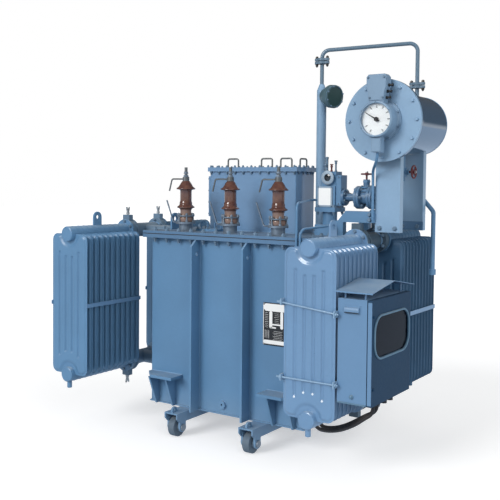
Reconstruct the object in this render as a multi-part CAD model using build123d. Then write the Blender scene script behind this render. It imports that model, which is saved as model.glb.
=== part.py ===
from build123d import *
import os
from math import pi, radians, sqrt, tan

# Power transformer, oil filled, on four rollers. Millimetres, +Z up.
# X runs along the front wall, -Y is the front, and the ground is Z = 0.

# Tank and base
TANK_LENGTH = 1180.0
TANK_DEPTH = 700.0
TANK_UNDERSIDE = 160.0
WALL_HEIGHT = 1106.0
RIM_WIDTH = 48.0
RIM_THICKNESS = 24.0
GASKET_THICKNESS = 5.0
GASKET_INSET = 2.0
GASKET_WIDTH = 64.0
COVER_THICKNESS = 17.0
EARTH_BOSS_DIAMETER = 50.0
EARTH_BOSS_LENGTH = 18.0
EARTH_BOSS_HEIGHT = 64.0
EARTH_HOLE_DIAMETER = 12.0

# Wall stiffeners, welded on edge to the long walls
STIFFENER_X = 197.0
STIFFENER_DEPTH = 90.0
STIFFENER_THICKNESS = 14.0
STIFFENER_CHAMFER_DEPTH = 47.0
STIFFENER_CHAMFER_HEIGHT = 42.0
LIFTING_HOLE_DIAMETER = 28.0
LIFTING_HOLE_DROP = 91.0
LIFTING_HOLE_REACH = 37.0

# Jacking pads under the corners of the long walls
PAD_HEIGHT = 190.0
PAD_THICKNESS = 18.0
PAD_LENGTH = 260.0
PAD_REACH = 120.0
PAD_CORNER = 85.0
GUSSET_THICKNESS = 12.0
GUSSET_FOOT = 30.0
GUSSET_INSET = 60.0

# Base beams, inverted channels
BEAM_CENTRE_X = 288.0
BEAM_WIDTH = 104.0
BEAM_HEIGHT = 62.0
BEAM_LENGTH = 1040.0
BEAM_WALL = 9.0
BEAM_END_BEVEL = 26.0
EYE_THICKNESS = 14.0
EYE_RADIUS = 27.0
EYE_HOLE_DIAMETER = 24.0
EYE_INSET = 34.0
EYE_HOLE_RISE = 14.0

# Rollers
ROLLER_DIAMETER = 124.0
ROLLER_WIDTH = 50.0
ROLLER_Y = 460.0
HUB_DIAMETER = 62.0
HUB_SIDE_GAP = 2.0
AXLE_DIAMETER = 30.0
AXLE_HEAD_DIAMETER = 44.0
AXLE_HEAD_LENGTH = 8.0
EAR_THICKNESS = 14.0
EAR_RADIUS = 30.0
PIN_CLEARANCE = 0.1

# Radiators, pressed steel panels on two headers
PANEL_WIDTH = 320.0
PANEL_HEIGHT = 937.0
PANEL_CORNER = 45.0
PANEL_COUNT = 11
PANEL_PITCH = 50.8
PANEL_SKIN = 4.0
PANEL_RIM = 11.0
FLUTE_THICKNESS = 20.0
GROOVE_WIDTH = 12.0
GROOVE_PITCH = 64.0
GROOVE_COUNT = 4
GROOVE_INNER_GAP = 150.0
GROOVE_OUTER_GAP = 120.0
HEADER_RELIEF = 170.0
HEADER_DIAMETER = 100.0
HEADER_CAP = 22.0
HEADER_HEIGHT = 188.0
HEADER_STUB = 26.0
HEADER_LUG_WIDTH = 76.0
HEADER_LUG_HEIGHT = 92.0
HEADER_LUG_THICKNESS = 12.0
HEADER_LUG_HOLE = 30.0
DRAIN_PLUG_DIAMETER = 32.0
DRAIN_PLUG_LENGTH = 42.0
DRAIN_PLUG_INSET = 30.0
RIGHT_RADIATOR_REACH = 232.0
LEFT_RADIATOR_REACH = 421.0
RIGHT_GAP = 364.0
LEFT_GAP = 427.0
LEFT_PAIR_Y = 31.5
BAND_HEIGHT = 26.0
BAND_THICKNESS = 5.0
SEAT_GAP = 0.3

# Valves and branch pipes between the radiators
FLANGE_DIAMETER = 160.0
FLANGE_THICKNESS = 14.0
VALVE_DIAMETER = 150.0
VALVE_WIDTH = 40.0
VALVE_NECK_WIDTH = 60.0
VALVE_NECK_HEIGHT = 62.0
VALVE_STEM_DIAMETER = 14.0
VALVE_STEM_LENGTH = 16.0
HANDLE_WIDTH = 36.0
HANDLE_HEIGHT = 40.0
HANDLE_THICKNESS = 10.0
HANDLE_HUB_DIAMETER = 26.0
BRANCH_DIAMETER = 94.0
BRANCH_DROP = 110.0
UPPER_BRANCH_DIAMETER = 76.0
UPPER_BRANCH_BEND = 52.0
UPPER_BRANCH_CLEARANCE = 58.0

# High voltage bushings
BUSHING_PITCH = 360.0
BUSHING_Y = -288.0
COLLAR_DIAMETER = 88.0
COLLAR_HEIGHT = 48.0
CLAMP_DIAMETER = 128.0
CLAMP_HEIGHT = 14.0
PORCELAIN_FOOT_RADIUS = 48.0
PORCELAIN_NECK_RADIUS = 37.0
PORCELAIN_BARREL_RADIUS = 38.0
LOWER_SHED_RADIUS = 58.0
UPPER_SHED_RADIUS = 62.5
PORCELAIN_LENGTH = 268.0
FOOT_LENGTH = 30.0
SHED_LOW = 92.0
SHED_HIGH = 214.0
SHED_EDGE = 7.0
SHED_SLOPE = 19.0
UPPER_SHED_SLOPE = 27.0
TERMINAL_STUD_DIAMETER = 20.0
TERMINAL_HEX_DIAMETER = 44.0
HORN_DIAMETER = 10.0
HORN_REACH = 118.0
LOWER_HORN_KNEE = 40.0
LOWER_HORN_REACH = 98.0
LOWER_HORN_RISE = 145.0

# Low voltage cable box on the cover
LV_LENGTH = 676.0
LV_DEPTH = 230.0
LV_HEIGHT = 411.0
LV_Y = 70.0
LV_LID_OVERHANG = 14.0
LV_LID_THICKNESS = 14.0
LV_SIDE_REACH = 34.0
LV_SIDE_INSET = 24.0
LV_SIDE_LOW = 90.0
LV_SIDE_DROP = 46.0
LV_HANDLE_WIDTH = 84.0
LV_HANDLE_HEIGHT = 62.0
LV_HANDLE_DIAMETER = 11.0

# Conservator
DRUM_REACH = 398.0
DRUM_HEIGHT = 1842.0
DRUM_DIAMETER = 365.0
DRUM_FRONT_Y = -134.0
DRUM_LENGTH = 520.0
DRUM_DISH = 40.0
END_FLANGE_DIAMETER = 480.0
END_FLANGE_THICKNESS = 16.0
END_COVER_THICKNESS = 18.0
LEG_WIDTH = 158.0
LEG_DEPTH = 45.0
LEG_WALL = 8.0
LEG_FOOT = 1187.0
FRONT_LEG_Y = -80.0
REAR_LEG_Y = 270.0
ARM_DEPTH = 45.0
ARM_HEIGHT = 68.0
ARM_TOP = 1308.0
ARM_ROOT_WIDTH = 64.0
ARM_TOE = 20.0
ARM_TOE_RISE = 34.0
ARM_SHOULDER = 30.0
ARM_SLOPE = 50.0
ARM_SETBACK = 12.0

# Oil level gauge
GAUGE_RING_DIAMETER = 240.0
GAUGE_RING_THICKNESS = 14.0
GAUGE_DIAMETER = 206.0
GAUGE_DEPTH = 98.0
GAUGE_RECESS = 22.0
GAUGE_FACE_DIAMETER = 184.0
GLASS_THICKNESS = 4.0
POINTER_THICKNESS = 2.0
POINTER_HUB_DIAMETER = 26.0
POINTER_LENGTH = 66.0
TERMINAL_BOX_WIDTH = 124.0
TERMINAL_BOX_HEIGHT = 165.0
TERMINAL_BOX_DEPTH = 60.0
GLAND_BOX_WIDTH = 60.0
GLAND_BOX_DROP = 85.0

# Explosion vent and equalising pipe
VENT_INSET = 166.0
VENT_Y = 125.0
VENT_FLANGE_DIAMETER = 100.0
VENT_DIAMETER = 62.0
VENT_TOP = 2073.0
EQUALISER_DIAMETER = 25.0
EQUALISER_LEFT_TOP = 2330.0
EQUALISER_RIGHT_TOP = 2362.0
EQUALISER_BEND = 50.0
EQUALISER_Y = 340.0
UNION_DIAMETER = 62.0
UNION_THICKNESS = 16.0
EQUALISER_UNION_DROP = 66.0
EQUALISER_UNION_RISE = 73.0
MOUTH_DIAMETER = 144.0
MOUTH_THICKNESS = 22.0
MOUTH_NECK = 120.0
MOUTH_DROP = 33.0
MOUTH_ROOT_DIAMETER = 68.0
MOUTH_FUNNEL_DIAMETER = 124.0

# Gas relay and its pipe
RELAY_INSET = 25.0
RELAY_Y = -5.0
RELAY_WIDTH = 120.0
RELAY_DEPTH = 100.0
RELAY_FOOT = 1326.0
RELAY_HEIGHT = 132.0
RELAY_FLANGE = 140.0
RELAY_FLANGE_THICKNESS = 28.0
RISER_DIAMETER = 92.0
TURRET_HEIGHT = 66.0
RELAY_BOX_WIDTH = 38.0
OIL_PIPE_DIAMETER = 48.0
OIL_PIPE_HEIGHT = 1390.0
GATE_REACH = 225.0
GATE_FLANGE_DIAMETER = 140.0
GATE_FLANGE_THICKNESS = 16.0
GATE_BODY_DIAMETER = 84.0
GATE_LENGTH = 84.0
GATE_BONNET_DIAMETER = 40.0
GATE_BONNET_HEIGHT = 110.0
SPINDLE_DIAMETER = 12.0
HANDWHEEL_DIAMETER = 72.0
HANDWHEEL_RIM = 10.0
HANDWHEEL_HUB = 22.0
HANDWHEEL_RISE = 33.0
HANDWHEEL_SPOKE = 8.0
DRAIN_VALVE_Y = 130.0
DRAIN_VALVE_DROP = 111.5
DRAIN_VALVE_DIAMETER = 34.0
DRAIN_VALVE_BODY = 56.0
DRAIN_BONNET_REACH = 45.0
DRAIN_WHEEL_DIAMETER = 84.0
DRAIN_WHEEL_RISE = 30.0
BREATHER_DIAMETER = 28.0
BREATHER_TAP_REACH = 22.0
BREATHER_REACH = 120.0
BREATHER_BEND_DROP = 357.0
BREATHER_JOG = 108.0
BREATHER_END_DROP = 752.0
BREATHER_COUPLING = 34.0
BREATHER_BEND = 40.0
BREATHER_Y = 345.0

# Marshalling box beside the front right radiator
BOX_DEPTH = 170.0
BOX_LENGTH = 499.0
BOX_FRONT_Y = -692.0
BOX_FLOOR = 309.0
BOX_HEIGHT = 559.0
BOX_WALL = 4.0
DOOR_GAP = 3.0
DOOR_THICKNESS = 27.0
DOOR_SKIN = 4.0
WINDOW_LENGTH = 430.0
WINDOW_HEIGHT = 215.0
WINDOW_CENTRE_HEIGHT = 666.0
WINDOW_CORNER = 80.0
WINDOW_OVERLAP = 12.0
WINDOW_GLASS = 5.0
ROOF_SHEET = 3.0
ROOF_RISE = 44.0
ROOF_OVERHANG = 22.0
ROOF_GAP = 37.0
HINGE_PIN_DIAMETER = 6.0
HINGE_KNUCKLE_DIAMETER = 14.0
HINGE_KNUCKLE_LENGTH = 26.0
HINGE_OFFSET = 9.0
HINGE_INSET = 90.0
CLAMP_BAR_THICKNESS = 8.0
CLAMP_BAR_HEIGHT = 36.0
CLAMP_ROD_DIAMETER = 10.0
CLAMP_ROD_OFFSET = 9.0
CLAMP_UPPER_LEFT = 821.0
CLAMP_UPPER_RIGHT = 781.0
CLAMP_LOWER = 404.0

# Control cables
CABLE_DIAMETER = 22.0
GLAND_DIAMETER = 36.0
GLAND_LENGTH = 30.0
GLAND_INSET = 26.0
SPARE_GLAND_LENGTH = 40.0
SPARE_GLAND_PITCH = 80.0
SPARE_GLAND_COUNT = 2
SPARE_GLAND_START = 277.0

# Rating plate
PLATE_INSET = 103.0
PLATE_WIDTH = 188.0
PLATE_HEIGHT = 261.0
PLATE_BOTTOM = 484.0
PLATE_THICKNESS = 3.0

# Heights and faces that the sizes above fix
FRONT_Y = -TANK_DEPTH / 2
WALL_X = TANK_LENGTH / 2
RIGHT_RADIATOR_X = WALL_X + RIGHT_RADIATOR_REACH
LEFT_RADIATOR_X = -WALL_X - LEFT_RADIATOR_REACH
DRUM_X = WALL_X + DRUM_REACH
VENT_X = WALL_X - VENT_INSET
RELAY_X = WALL_X - RELAY_INSET
GATE_X = WALL_X + GATE_REACH
RIM_UNDERSIDE = TANK_UNDERSIDE + WALL_HEIGHT
RIM_TOP = RIM_UNDERSIDE + RIM_THICKNESS
COVER_UNDERSIDE = RIM_TOP + GASKET_THICKNESS
COVER_TOP = COVER_UNDERSIDE + COVER_THICKNESS
PANEL_BOTTOM = TANK_UNDERSIDE + HEADER_HEIGHT
PANEL_TOP = PANEL_BOTTOM + PANEL_HEIGHT
STACK_DEPTH = (PANEL_COUNT - 1) * PANEL_PITCH + FLUTE_THICKNESS
DRUM_Z = TANK_UNDERSIDE + DRUM_HEIGHT
DRUM_RADIUS = DRUM_DIAMETER / 2
DRUM_LOW = DRUM_Z - DRUM_RADIUS
OIL_PIPE_Z = TANK_UNDERSIDE + OIL_PIPE_HEIGHT
GATE_BONNET_TOP = OIL_PIPE_Z + GATE_BONNET_HEIGHT
GATE_WHEEL_Z = GATE_BONNET_TOP + HANDWHEEL_RISE
DRAIN_VALVE_Z = DRUM_LOW - DRAIN_VALVE_DROP
DRAIN_BONNET_X = DRUM_X + DRAIN_BONNET_REACH
DRAIN_WHEEL_X = DRAIN_BONNET_X + DRAIN_WHEEL_RISE
BOX_BACK_X = RIGHT_RADIATOR_X + PANEL_WIDTH / 2 + SEAT_GAP + CLAMP_BAR_THICKNESS
BOX_MOUTH_X = BOX_BACK_X + BOX_DEPTH
DOOR_BACK_X = BOX_MOUTH_X + DOOR_GAP
DOOR_FACE_X = DOOR_BACK_X + DOOR_THICKNESS
BOX_REAR_Y = BOX_FRONT_Y + BOX_LENGTH
BOX_BOTTOM_Z = TANK_UNDERSIDE + BOX_FLOOR
BOX_TOP_Z = BOX_BOTTOM_Z + BOX_HEIGHT
ROOF_RIGHT_X = DOOR_FACE_X + ROOF_OVERHANG / 2
ROOF_LEFT_X = BOX_BACK_X - CLAMP_BAR_THICKNESS / 2

# The origin is the middle of the outline on the ground
LEFT_LIMIT_X = LEFT_RADIATOR_X - PANEL_WIDTH / 2 - BAND_THICKNESS - SEAT_GAP
RIGHT_LIMIT_X = max(ROOF_RIGHT_X, DRUM_X + END_FLANGE_DIAMETER / 2)
FRONT_LIMIT_Y = -RIGHT_GAP / 2 - STACK_DEPTH - HEADER_CAP
REAR_LIMIT_Y = LEFT_PAIR_Y + LEFT_GAP / 2 + STACK_DEPTH + HEADER_CAP
ORIGIN = Vector((LEFT_LIMIT_X + RIGHT_LIMIT_X) / 2, (FRONT_LIMIT_Y + REAR_LIMIT_Y) / 2, 0)

os.makedirs("parts", exist_ok=True)


def save(name, shape):
    """Write one node, moved so that the origin is the middle of the outline on the ground."""
    moved = Pos(*(-ORIGIN)) * shape
    export_step(moved, f"parts/{name}.step")


def block(x0, x1, y0, y1, z0, z1):
    """A plain box between two corners."""
    centre = Pos((x0 + x1) / 2, (y0 + y1) / 2, (z0 + z1) / 2)
    return centre * Box(x1 - x0, y1 - y0, z1 - z0)


def rod(start, end, diameter):
    """A round bar from one point to another."""
    start, end = Vector(*start), Vector(*end)
    line = end - start
    plane = Plane(start, z_dir=line)
    return extrude(plane * Circle(diameter / 2), line.length)


def ring(start, end, outer, inner):
    """A round collar with a bore, from one point to another."""
    start, end = Vector(*start), Vector(*end)
    line = end - start
    plane = Plane(start, z_dir=line)
    return extrude(plane * (Circle(outer / 2) - Circle(inner / 2)), line.length)


def bent_bar(points, diameter, bend):
    """A round bar along straight runs joined by arcs."""
    path = FilletPolyline(*points, radius=bend)
    return sweep(Plane(path @ 0, z_dir=path % 0) * Circle(diameter / 2), path=path)


def side_plate(points, x0, thickness):
    """A flat plate across X, its outline given as (Y, Z) points."""
    outline = Polyline(*[(x0, y, z) for y, z in points], close=True)
    return extrude(make_face(outline), thickness, dir=(1, 0, 0))


def turned(profile, x, y):
    """A solid of revolution about a vertical axis, its outline given as (radius, Z) points."""
    outline = make_face(Polyline(*[(r, 0, z) for r, z in profile], close=True))
    return Pos(x, y, 0) * revolve(outline, Axis.Z)


def four_corners(piece):
    """The piece in each of the four quarters, mirrored about the tank's middle planes."""
    front = [piece, mirror(piece, Plane.YZ)]
    return front + [mirror(p, Plane.XZ) for p in front]


# Base beams with the ears that hold the roller axles
def base_beam(x):
    top = TANK_UNDERSIDE
    bottom = top - BEAM_HEIGHT
    half = BEAM_WIDTH / 2
    end = BEAM_LENGTH / 2
    outline = [(-end, top), (end, top), (end, bottom + BEAM_END_BEVEL), (end - BEAM_END_BEVEL, bottom)]
    outline += [(-end + BEAM_END_BEVEL, bottom), (-end, bottom + BEAM_END_BEVEL)]
    beam = side_plate(outline, x - half, BEAM_WIDTH)
    inside = half - BEAM_WALL
    beam -= block(x - inside, x + inside, -end, end, bottom, top - BEAM_WALL)
    axle_z = ROLLER_DIAMETER / 2
    for y in (-ROLLER_Y, ROLLER_Y):
        for side in (-1, 1):
            outer = x + side * half
            inner = x + side * (half - EAR_THICKNESS)
            low, high = min(outer, inner), max(outer, inner)
            ear = block(low, high, y - EAR_RADIUS, y + EAR_RADIUS, axle_z, bottom + BEAM_END_BEVEL)
            ear += rod((low, y, axle_z), (high, y, axle_z), 2 * EAR_RADIUS)
            beam += ear
        bore = AXLE_DIAMETER + 2 * PIN_CLEARANCE
        beam -= rod((x - half - 1, y, axle_z), (x + half + 1, y, axle_z), bore)
    for side in (-1, 1):
        y = side * (end - EYE_INSET)
        lug = block(x - EYE_THICKNESS / 2, x + EYE_THICKNESS / 2, y - EYE_RADIUS, y + EYE_RADIUS, top, top + 8)
        lug += rod((x - EYE_THICKNESS / 2, y, top + 8), (x + EYE_THICKNESS / 2, y, top + 8), 2 * EYE_RADIUS)
        lug -= block(x - EYE_THICKNESS, x + EYE_THICKNESS, y - 60, y + 60, top - 60, top)
        hole_z = top + EYE_HOLE_RISE
        lug -= rod((x - 20, y, hole_z), (x + 20, y, hole_z), EYE_HOLE_DIAMETER)
        beam += lug
    return beam


def roller(x, y):
    z = ROLLER_DIAMETER / 2
    half_inside = BEAM_WIDTH / 2 - EAR_THICKNESS
    hub = half_inside - HUB_SIDE_GAP
    wheel = rod((x - ROLLER_WIDTH / 2, y, z), (x + ROLLER_WIDTH / 2, y, z), ROLLER_DIAMETER)
    wheel = chamfer(wheel.edges().filter_by(GeomType.CIRCLE), 3)
    wheel += rod((x - hub, y, z), (x + hub, y, z), HUB_DIAMETER)
    return wheel - rod((x - hub - 1, y, z), (x + hub + 1, y, z), AXLE_DIAMETER + 2 * PIN_CLEARANCE)


def roller_axle(x, y):
    z = ROLLER_DIAMETER / 2
    half = BEAM_WIDTH / 2
    axle = rod((x - half - AXLE_HEAD_LENGTH, y, z), (x + half + AXLE_HEAD_LENGTH, y, z), AXLE_DIAMETER)
    for side in (-1, 1):
        inner = x + side * (half + SEAT_GAP)
        outer = x + side * (half + AXLE_HEAD_LENGTH)
        axle += rod((inner, y, z), (outer, y, z), AXLE_HEAD_DIAMETER)
    return axle


# Tank, rim, gasket and cover
def tank_body():
    body = block(-TANK_LENGTH / 2, TANK_LENGTH / 2, FRONT_Y, -FRONT_Y, TANK_UNDERSIDE, RIM_TOP)
    z = TANK_UNDERSIDE + EARTH_BOSS_HEIGHT
    for side in (-1, 1):
        face = side * -FRONT_Y
        tip = face + side * EARTH_BOSS_LENGTH
        body += rod((0, face, z), (0, tip, z), EARTH_BOSS_DIAMETER)
        body -= rod((0, tip, z), (0, face, z), EARTH_HOLE_DIAMETER)
    return body


def flat_ring(outer_x, outer_y, inner_x, inner_y, z0, z1):
    """A flat rectangular frame, sizes from the middle."""
    frame = block(-outer_x, outer_x, -outer_y, outer_y, z0, z1)
    return frame - block(-inner_x, inner_x, -inner_y, inner_y, z0 - 1, z1 + 1)


def tank_rim():
    half_x = TANK_LENGTH / 2
    half_y = TANK_DEPTH / 2
    return flat_ring(half_x + RIM_WIDTH, half_y + RIM_WIDTH, half_x, half_y, RIM_UNDERSIDE, RIM_TOP)


def cover_gasket():
    x = TANK_LENGTH / 2 + RIM_WIDTH - GASKET_INSET
    y = TANK_DEPTH / 2 + RIM_WIDTH - GASKET_INSET
    return flat_ring(x, y, x - GASKET_WIDTH, y - GASKET_WIDTH, RIM_TOP, COVER_UNDERSIDE)


def tank_cover():
    x = TANK_LENGTH / 2 + RIM_WIDTH
    y = TANK_DEPTH / 2 + RIM_WIDTH
    return block(-x, x, -y, y, COVER_UNDERSIDE, COVER_TOP)


def wall_stiffener():
    """The front left stiffener, with its lifting hole and sloped head."""
    outer = FRONT_Y - STIFFENER_DEPTH
    shoulder = outer + STIFFENER_CHAMFER_DEPTH
    points = [(FRONT_Y, TANK_UNDERSIDE), (outer, TANK_UNDERSIDE)]
    points += [(outer, RIM_UNDERSIDE - STIFFENER_CHAMFER_HEIGHT), (shoulder, RIM_UNDERSIDE)]
    points += [(FRONT_Y, RIM_UNDERSIDE)]
    left = -STIFFENER_X - STIFFENER_THICKNESS / 2
    plate = side_plate(points, left, STIFFENER_THICKNESS)
    hole_y = FRONT_Y - LIFTING_HOLE_REACH
    hole_z = RIM_UNDERSIDE - LIFTING_HOLE_DROP
    return plate - rod((left - 1, hole_y, hole_z), (left + STIFFENER_THICKNESS + 1, hole_y, hole_z),
                       LIFTING_HOLE_DIAMETER)


def jacking_pad():
    """The front left pad on its two gussets."""
    left = -TANK_LENGTH / 2
    right = left + PAD_LENGTH
    outer = FRONT_Y - PAD_REACH
    low = TANK_UNDERSIDE + PAD_HEIGHT
    corner = [(left, FRONT_Y), (left, outer + PAD_CORNER), (left + PAD_CORNER, outer), (right, outer)]
    outline = Polyline(*[(x, y, low) for x, y in corner + [(right, FRONT_Y)]], close=True)
    pad = extrude(make_face(outline), PAD_THICKNESS, dir=(0, 0, 1))
    reach = outer + GUSSET_FOOT / 2
    for x in (left + GUSSET_INSET, right - GUSSET_INSET):
        foot = FRONT_Y - GUSSET_FOOT
        gusset = [(FRONT_Y, TANK_UNDERSIDE), (foot, TANK_UNDERSIDE), (reach, low), (FRONT_Y, low)]
        pad += side_plate(gusset, x - GUSSET_THICKNESS / 2, GUSSET_THICKNESS)
    return pad


def rating_plate():
    bottom = TANK_UNDERSIDE + PLATE_BOTTOM
    right = WALL_X - PLATE_INSET
    left = right - PLATE_WIDTH
    return block(left, right, FRONT_Y - PLATE_THICKNESS, FRONT_Y, bottom, bottom + PLATE_HEIGHT)


# High voltage bushings
def bushing_heights():
    """Heights of the porcelain's foot and of the terminal's foot."""
    foot = COVER_TOP + COLLAR_HEIGHT + CLAMP_HEIGHT
    return foot, foot + PORCELAIN_LENGTH


def hv_bushing(x):
    z, top = bushing_heights()
    neck_z = z + FOOT_LENGTH + PORCELAIN_FOOT_RADIUS - PORCELAIN_NECK_RADIUS
    low, high = z + SHED_LOW, z + SHED_HIGH
    profile = [(0, z), (PORCELAIN_FOOT_RADIUS, z), (PORCELAIN_FOOT_RADIUS, z + FOOT_LENGTH)]
    profile += [(PORCELAIN_NECK_RADIUS, neck_z), (PORCELAIN_NECK_RADIUS, low - SHED_EDGE)]
    profile += [(LOWER_SHED_RADIUS, low), (LOWER_SHED_RADIUS, low + SHED_EDGE)]
    rise = SHED_EDGE + SHED_SLOPE
    profile += [(PORCELAIN_BARREL_RADIUS, low + rise), (PORCELAIN_BARREL_RADIUS, high - SHED_EDGE)]
    profile += [(UPPER_SHED_RADIUS, high), (UPPER_SHED_RADIUS, high + SHED_EDGE)]
    crest = high + SHED_EDGE + UPPER_SHED_SLOPE
    profile += [(PORCELAIN_NECK_RADIUS, crest), (PORCELAIN_FOOT_RADIUS / 2, top), (0, top)]
    return turned(profile, x, BUSHING_Y)


def hv_clamp_ring(x):
    collar = rod((x, BUSHING_Y, COVER_TOP), (x, BUSHING_Y, COVER_TOP + COLLAR_HEIGHT), COLLAR_DIAMETER)
    top = COVER_TOP + COLLAR_HEIGHT + CLAMP_HEIGHT
    return collar + rod((x, BUSHING_Y, COVER_TOP + COLLAR_HEIGHT), (x, BUSHING_Y, top), CLAMP_DIAMETER)


def hv_terminal(x):
    foot, top = bushing_heights()
    y = BUSHING_Y
    stud = rod((x, y, top), (x, y, top + 90), TERMINAL_STUD_DIAMETER)
    stud += rod((x, y, top), (x, y, top + 26), TERMINAL_HEX_DIAMETER)
    upper = [(x, y, top + 13), (x - HORN_REACH, y, top + 13), (x - HORN_REACH - 22, y, top - 66)]
    return stud + bent_bar(upper, HORN_DIAMETER, 16)


def hv_lower_horn(x):
    foot, top = bushing_heights()
    z = foot - CLAMP_HEIGHT / 2
    start = x - CLAMP_DIAMETER / 2
    knee = (start - LOWER_HORN_KNEE, BUSHING_Y, z)
    tip = (start - LOWER_HORN_REACH, BUSHING_Y, z + LOWER_HORN_RISE)
    return bent_bar([(start, BUSHING_Y, z), knee, tip], HORN_DIAMETER, 16)


# Low voltage cable box
def lv_faces():
    return -LV_LENGTH / 2, LV_LENGTH / 2, LV_Y - LV_DEPTH / 2, LV_Y + LV_DEPTH / 2


def lv_box():
    x0, x1, y0, y1 = lv_faces()
    top = COVER_TOP + LV_HEIGHT
    body = block(x0, x1, y0, y1, COVER_TOP, top)
    lip = LV_LID_OVERHANG
    body += block(x0 - LV_SIDE_REACH, x0, y0 + LV_SIDE_INSET, y1 - LV_SIDE_INSET, COVER_TOP + LV_SIDE_LOW,
                  top - LV_SIDE_DROP)
    return body + block(x0 - lip, x1 + lip, y0 - lip, y1 + lip, top - LV_LID_THICKNESS, top)


def lv_box_lid():
    x0, x1, y0, y1 = lv_faces()
    top = COVER_TOP + LV_HEIGHT
    lip = LV_LID_OVERHANG
    return block(x0 - lip, x1 + lip, y0 - lip, y1 + lip, top, top + LV_LID_THICKNESS)


def lv_handle(x, y, along_x):
    foot = COVER_TOP + LV_HEIGHT + LV_LID_THICKNESS
    half = LV_HANDLE_WIDTH / 2
    top = foot + LV_HANDLE_HEIGHT - LV_HANDLE_DIAMETER / 2
    dx, dy = (half, 0) if along_x else (0, half)
    points = [(x - dx, y - dy, foot), (x - dx, y - dy, top), (x + dx, y + dy, top), (x + dx, y + dy, foot)]
    return bent_bar(points, LV_HANDLE_DIAMETER, 14)


# Radiators
def radiator_panel():
    """One pressed panel at the origin, faces across Y: a thin rim round a thick body with grooves."""
    plane = Plane.XZ
    skin = extrude(plane * RectangleRounded(PANEL_WIDTH, PANEL_HEIGHT, PANEL_CORNER), PANEL_SKIN / 2, both=True)
    body = RectangleRounded(PANEL_WIDTH - 2 * PANEL_RIM, PANEL_HEIGHT - 2 * PANEL_RIM, PANEL_CORNER - PANEL_RIM)
    for end in (-1, 1):
        body -= Pos(0, end * PANEL_HEIGHT / 2) * Circle(HEADER_RELIEF / 2)
    for i in range(GROOVE_COUNT):
        place = i - (GROOVE_COUNT - 1) / 2
        gap = GROOVE_OUTER_GAP if abs(place) > 1 else GROOVE_INNER_GAP
        groove = SlotOverall(PANEL_HEIGHT - 2 * gap, GROOVE_WIDTH, rotation=90)
        body -= Pos(place * GROOVE_PITCH, 0) * groove
    return skin + extrude(plane * body, FLUTE_THICKNESS / 2, both=True)


def radiator(x, inner_y, side, gap_end):
    """Panels and headers. side is -1 in front and 1 behind; inner_y is the stack's inner face."""
    middle = PANEL_BOTTOM + PANEL_HEIGHT / 2
    panels = []
    for i in range(PANEL_COUNT):
        y = inner_y + side * (FLUTE_THICKNESS / 2 + i * PANEL_PITCH)
        panels.append(Pos(x, y, middle) * radiator_panel())
    outer = inner_y + side * (STACK_DEPTH + HEADER_CAP)
    headers = [rod((x, gap_end, z), (x, outer, z), HEADER_DIAMETER) for z in (PANEL_BOTTOM, PANEL_TOP)]
    headers += [rod((x, gap_end, z), (x, gap_end + side * FLANGE_THICKNESS, z), FLANGE_DIAMETER)
                for z in (PANEL_BOTTOM, PANEL_TOP)]
    middle_y = inner_y + side * STACK_DEPTH / 2
    plug_y = outer - side * DRAIN_PLUG_INSET
    low = PANEL_BOTTOM - HEADER_DIAMETER / 2
    headers.append(rod((x, plug_y, PANEL_BOTTOM), (x, plug_y, low - DRAIN_PLUG_LENGTH), DRAIN_PLUG_DIAMETER))
    return headers[0].fuse(*headers[1:], *panels, header_lug(x, middle_y))


def header_lug(x, y):
    """The upright lifting lug on the top header."""
    crest = PANEL_TOP + HEADER_DIAMETER / 2
    half = HEADER_LUG_WIDTH / 2
    eye_z = crest + HEADER_LUG_HEIGHT - half
    left = x - HEADER_LUG_THICKNESS / 2
    right = left + HEADER_LUG_THICKNESS
    lug = block(left, right, y - half, y + half, PANEL_TOP, eye_z)
    lug += rod((left, y, eye_z), (right, y, eye_z), HEADER_LUG_WIDTH)
    return lug - rod((left - 1, y, eye_z), (right + 1, y, eye_z), HEADER_LUG_HOLE)


def pair_layout(right):
    """Header line X, middle Y and half gap of one pair of radiators."""
    if right:
        return RIGHT_RADIATOR_X, 0.0, RIGHT_GAP / 2
    return LEFT_RADIATOR_X, LEFT_PAIR_Y, LEFT_GAP / 2


def valve_body(x, y_middle, side, half_gap, z, up):
    """A wafer valve between the radiator's flange and the branch's flange."""
    face = y_middle + side * (half_gap - HEADER_STUB)
    inner = face - side * VALVE_WIDTH
    body = rod((x, face, z), (x, inner, z), VALVE_DIAMETER)
    y = (face + inner) / 2
    half = VALVE_NECK_WIDTH / 2
    neck_end = z + up * (HEADER_DIAMETER / 2 + VALVE_NECK_HEIGHT)
    z0, z1 = min(z, neck_end), max(z, neck_end)
    body += block(x - half, x + half, y - VALVE_WIDTH / 2, y + VALVE_WIDTH / 2, z0, z1)
    tip = neck_end + up * VALVE_STEM_LENGTH
    body -= rod((x, y, neck_end - up * 30), (x, y, tip), VALVE_STEM_DIAMETER + 2 * PIN_CLEARANCE)
    return body


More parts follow.
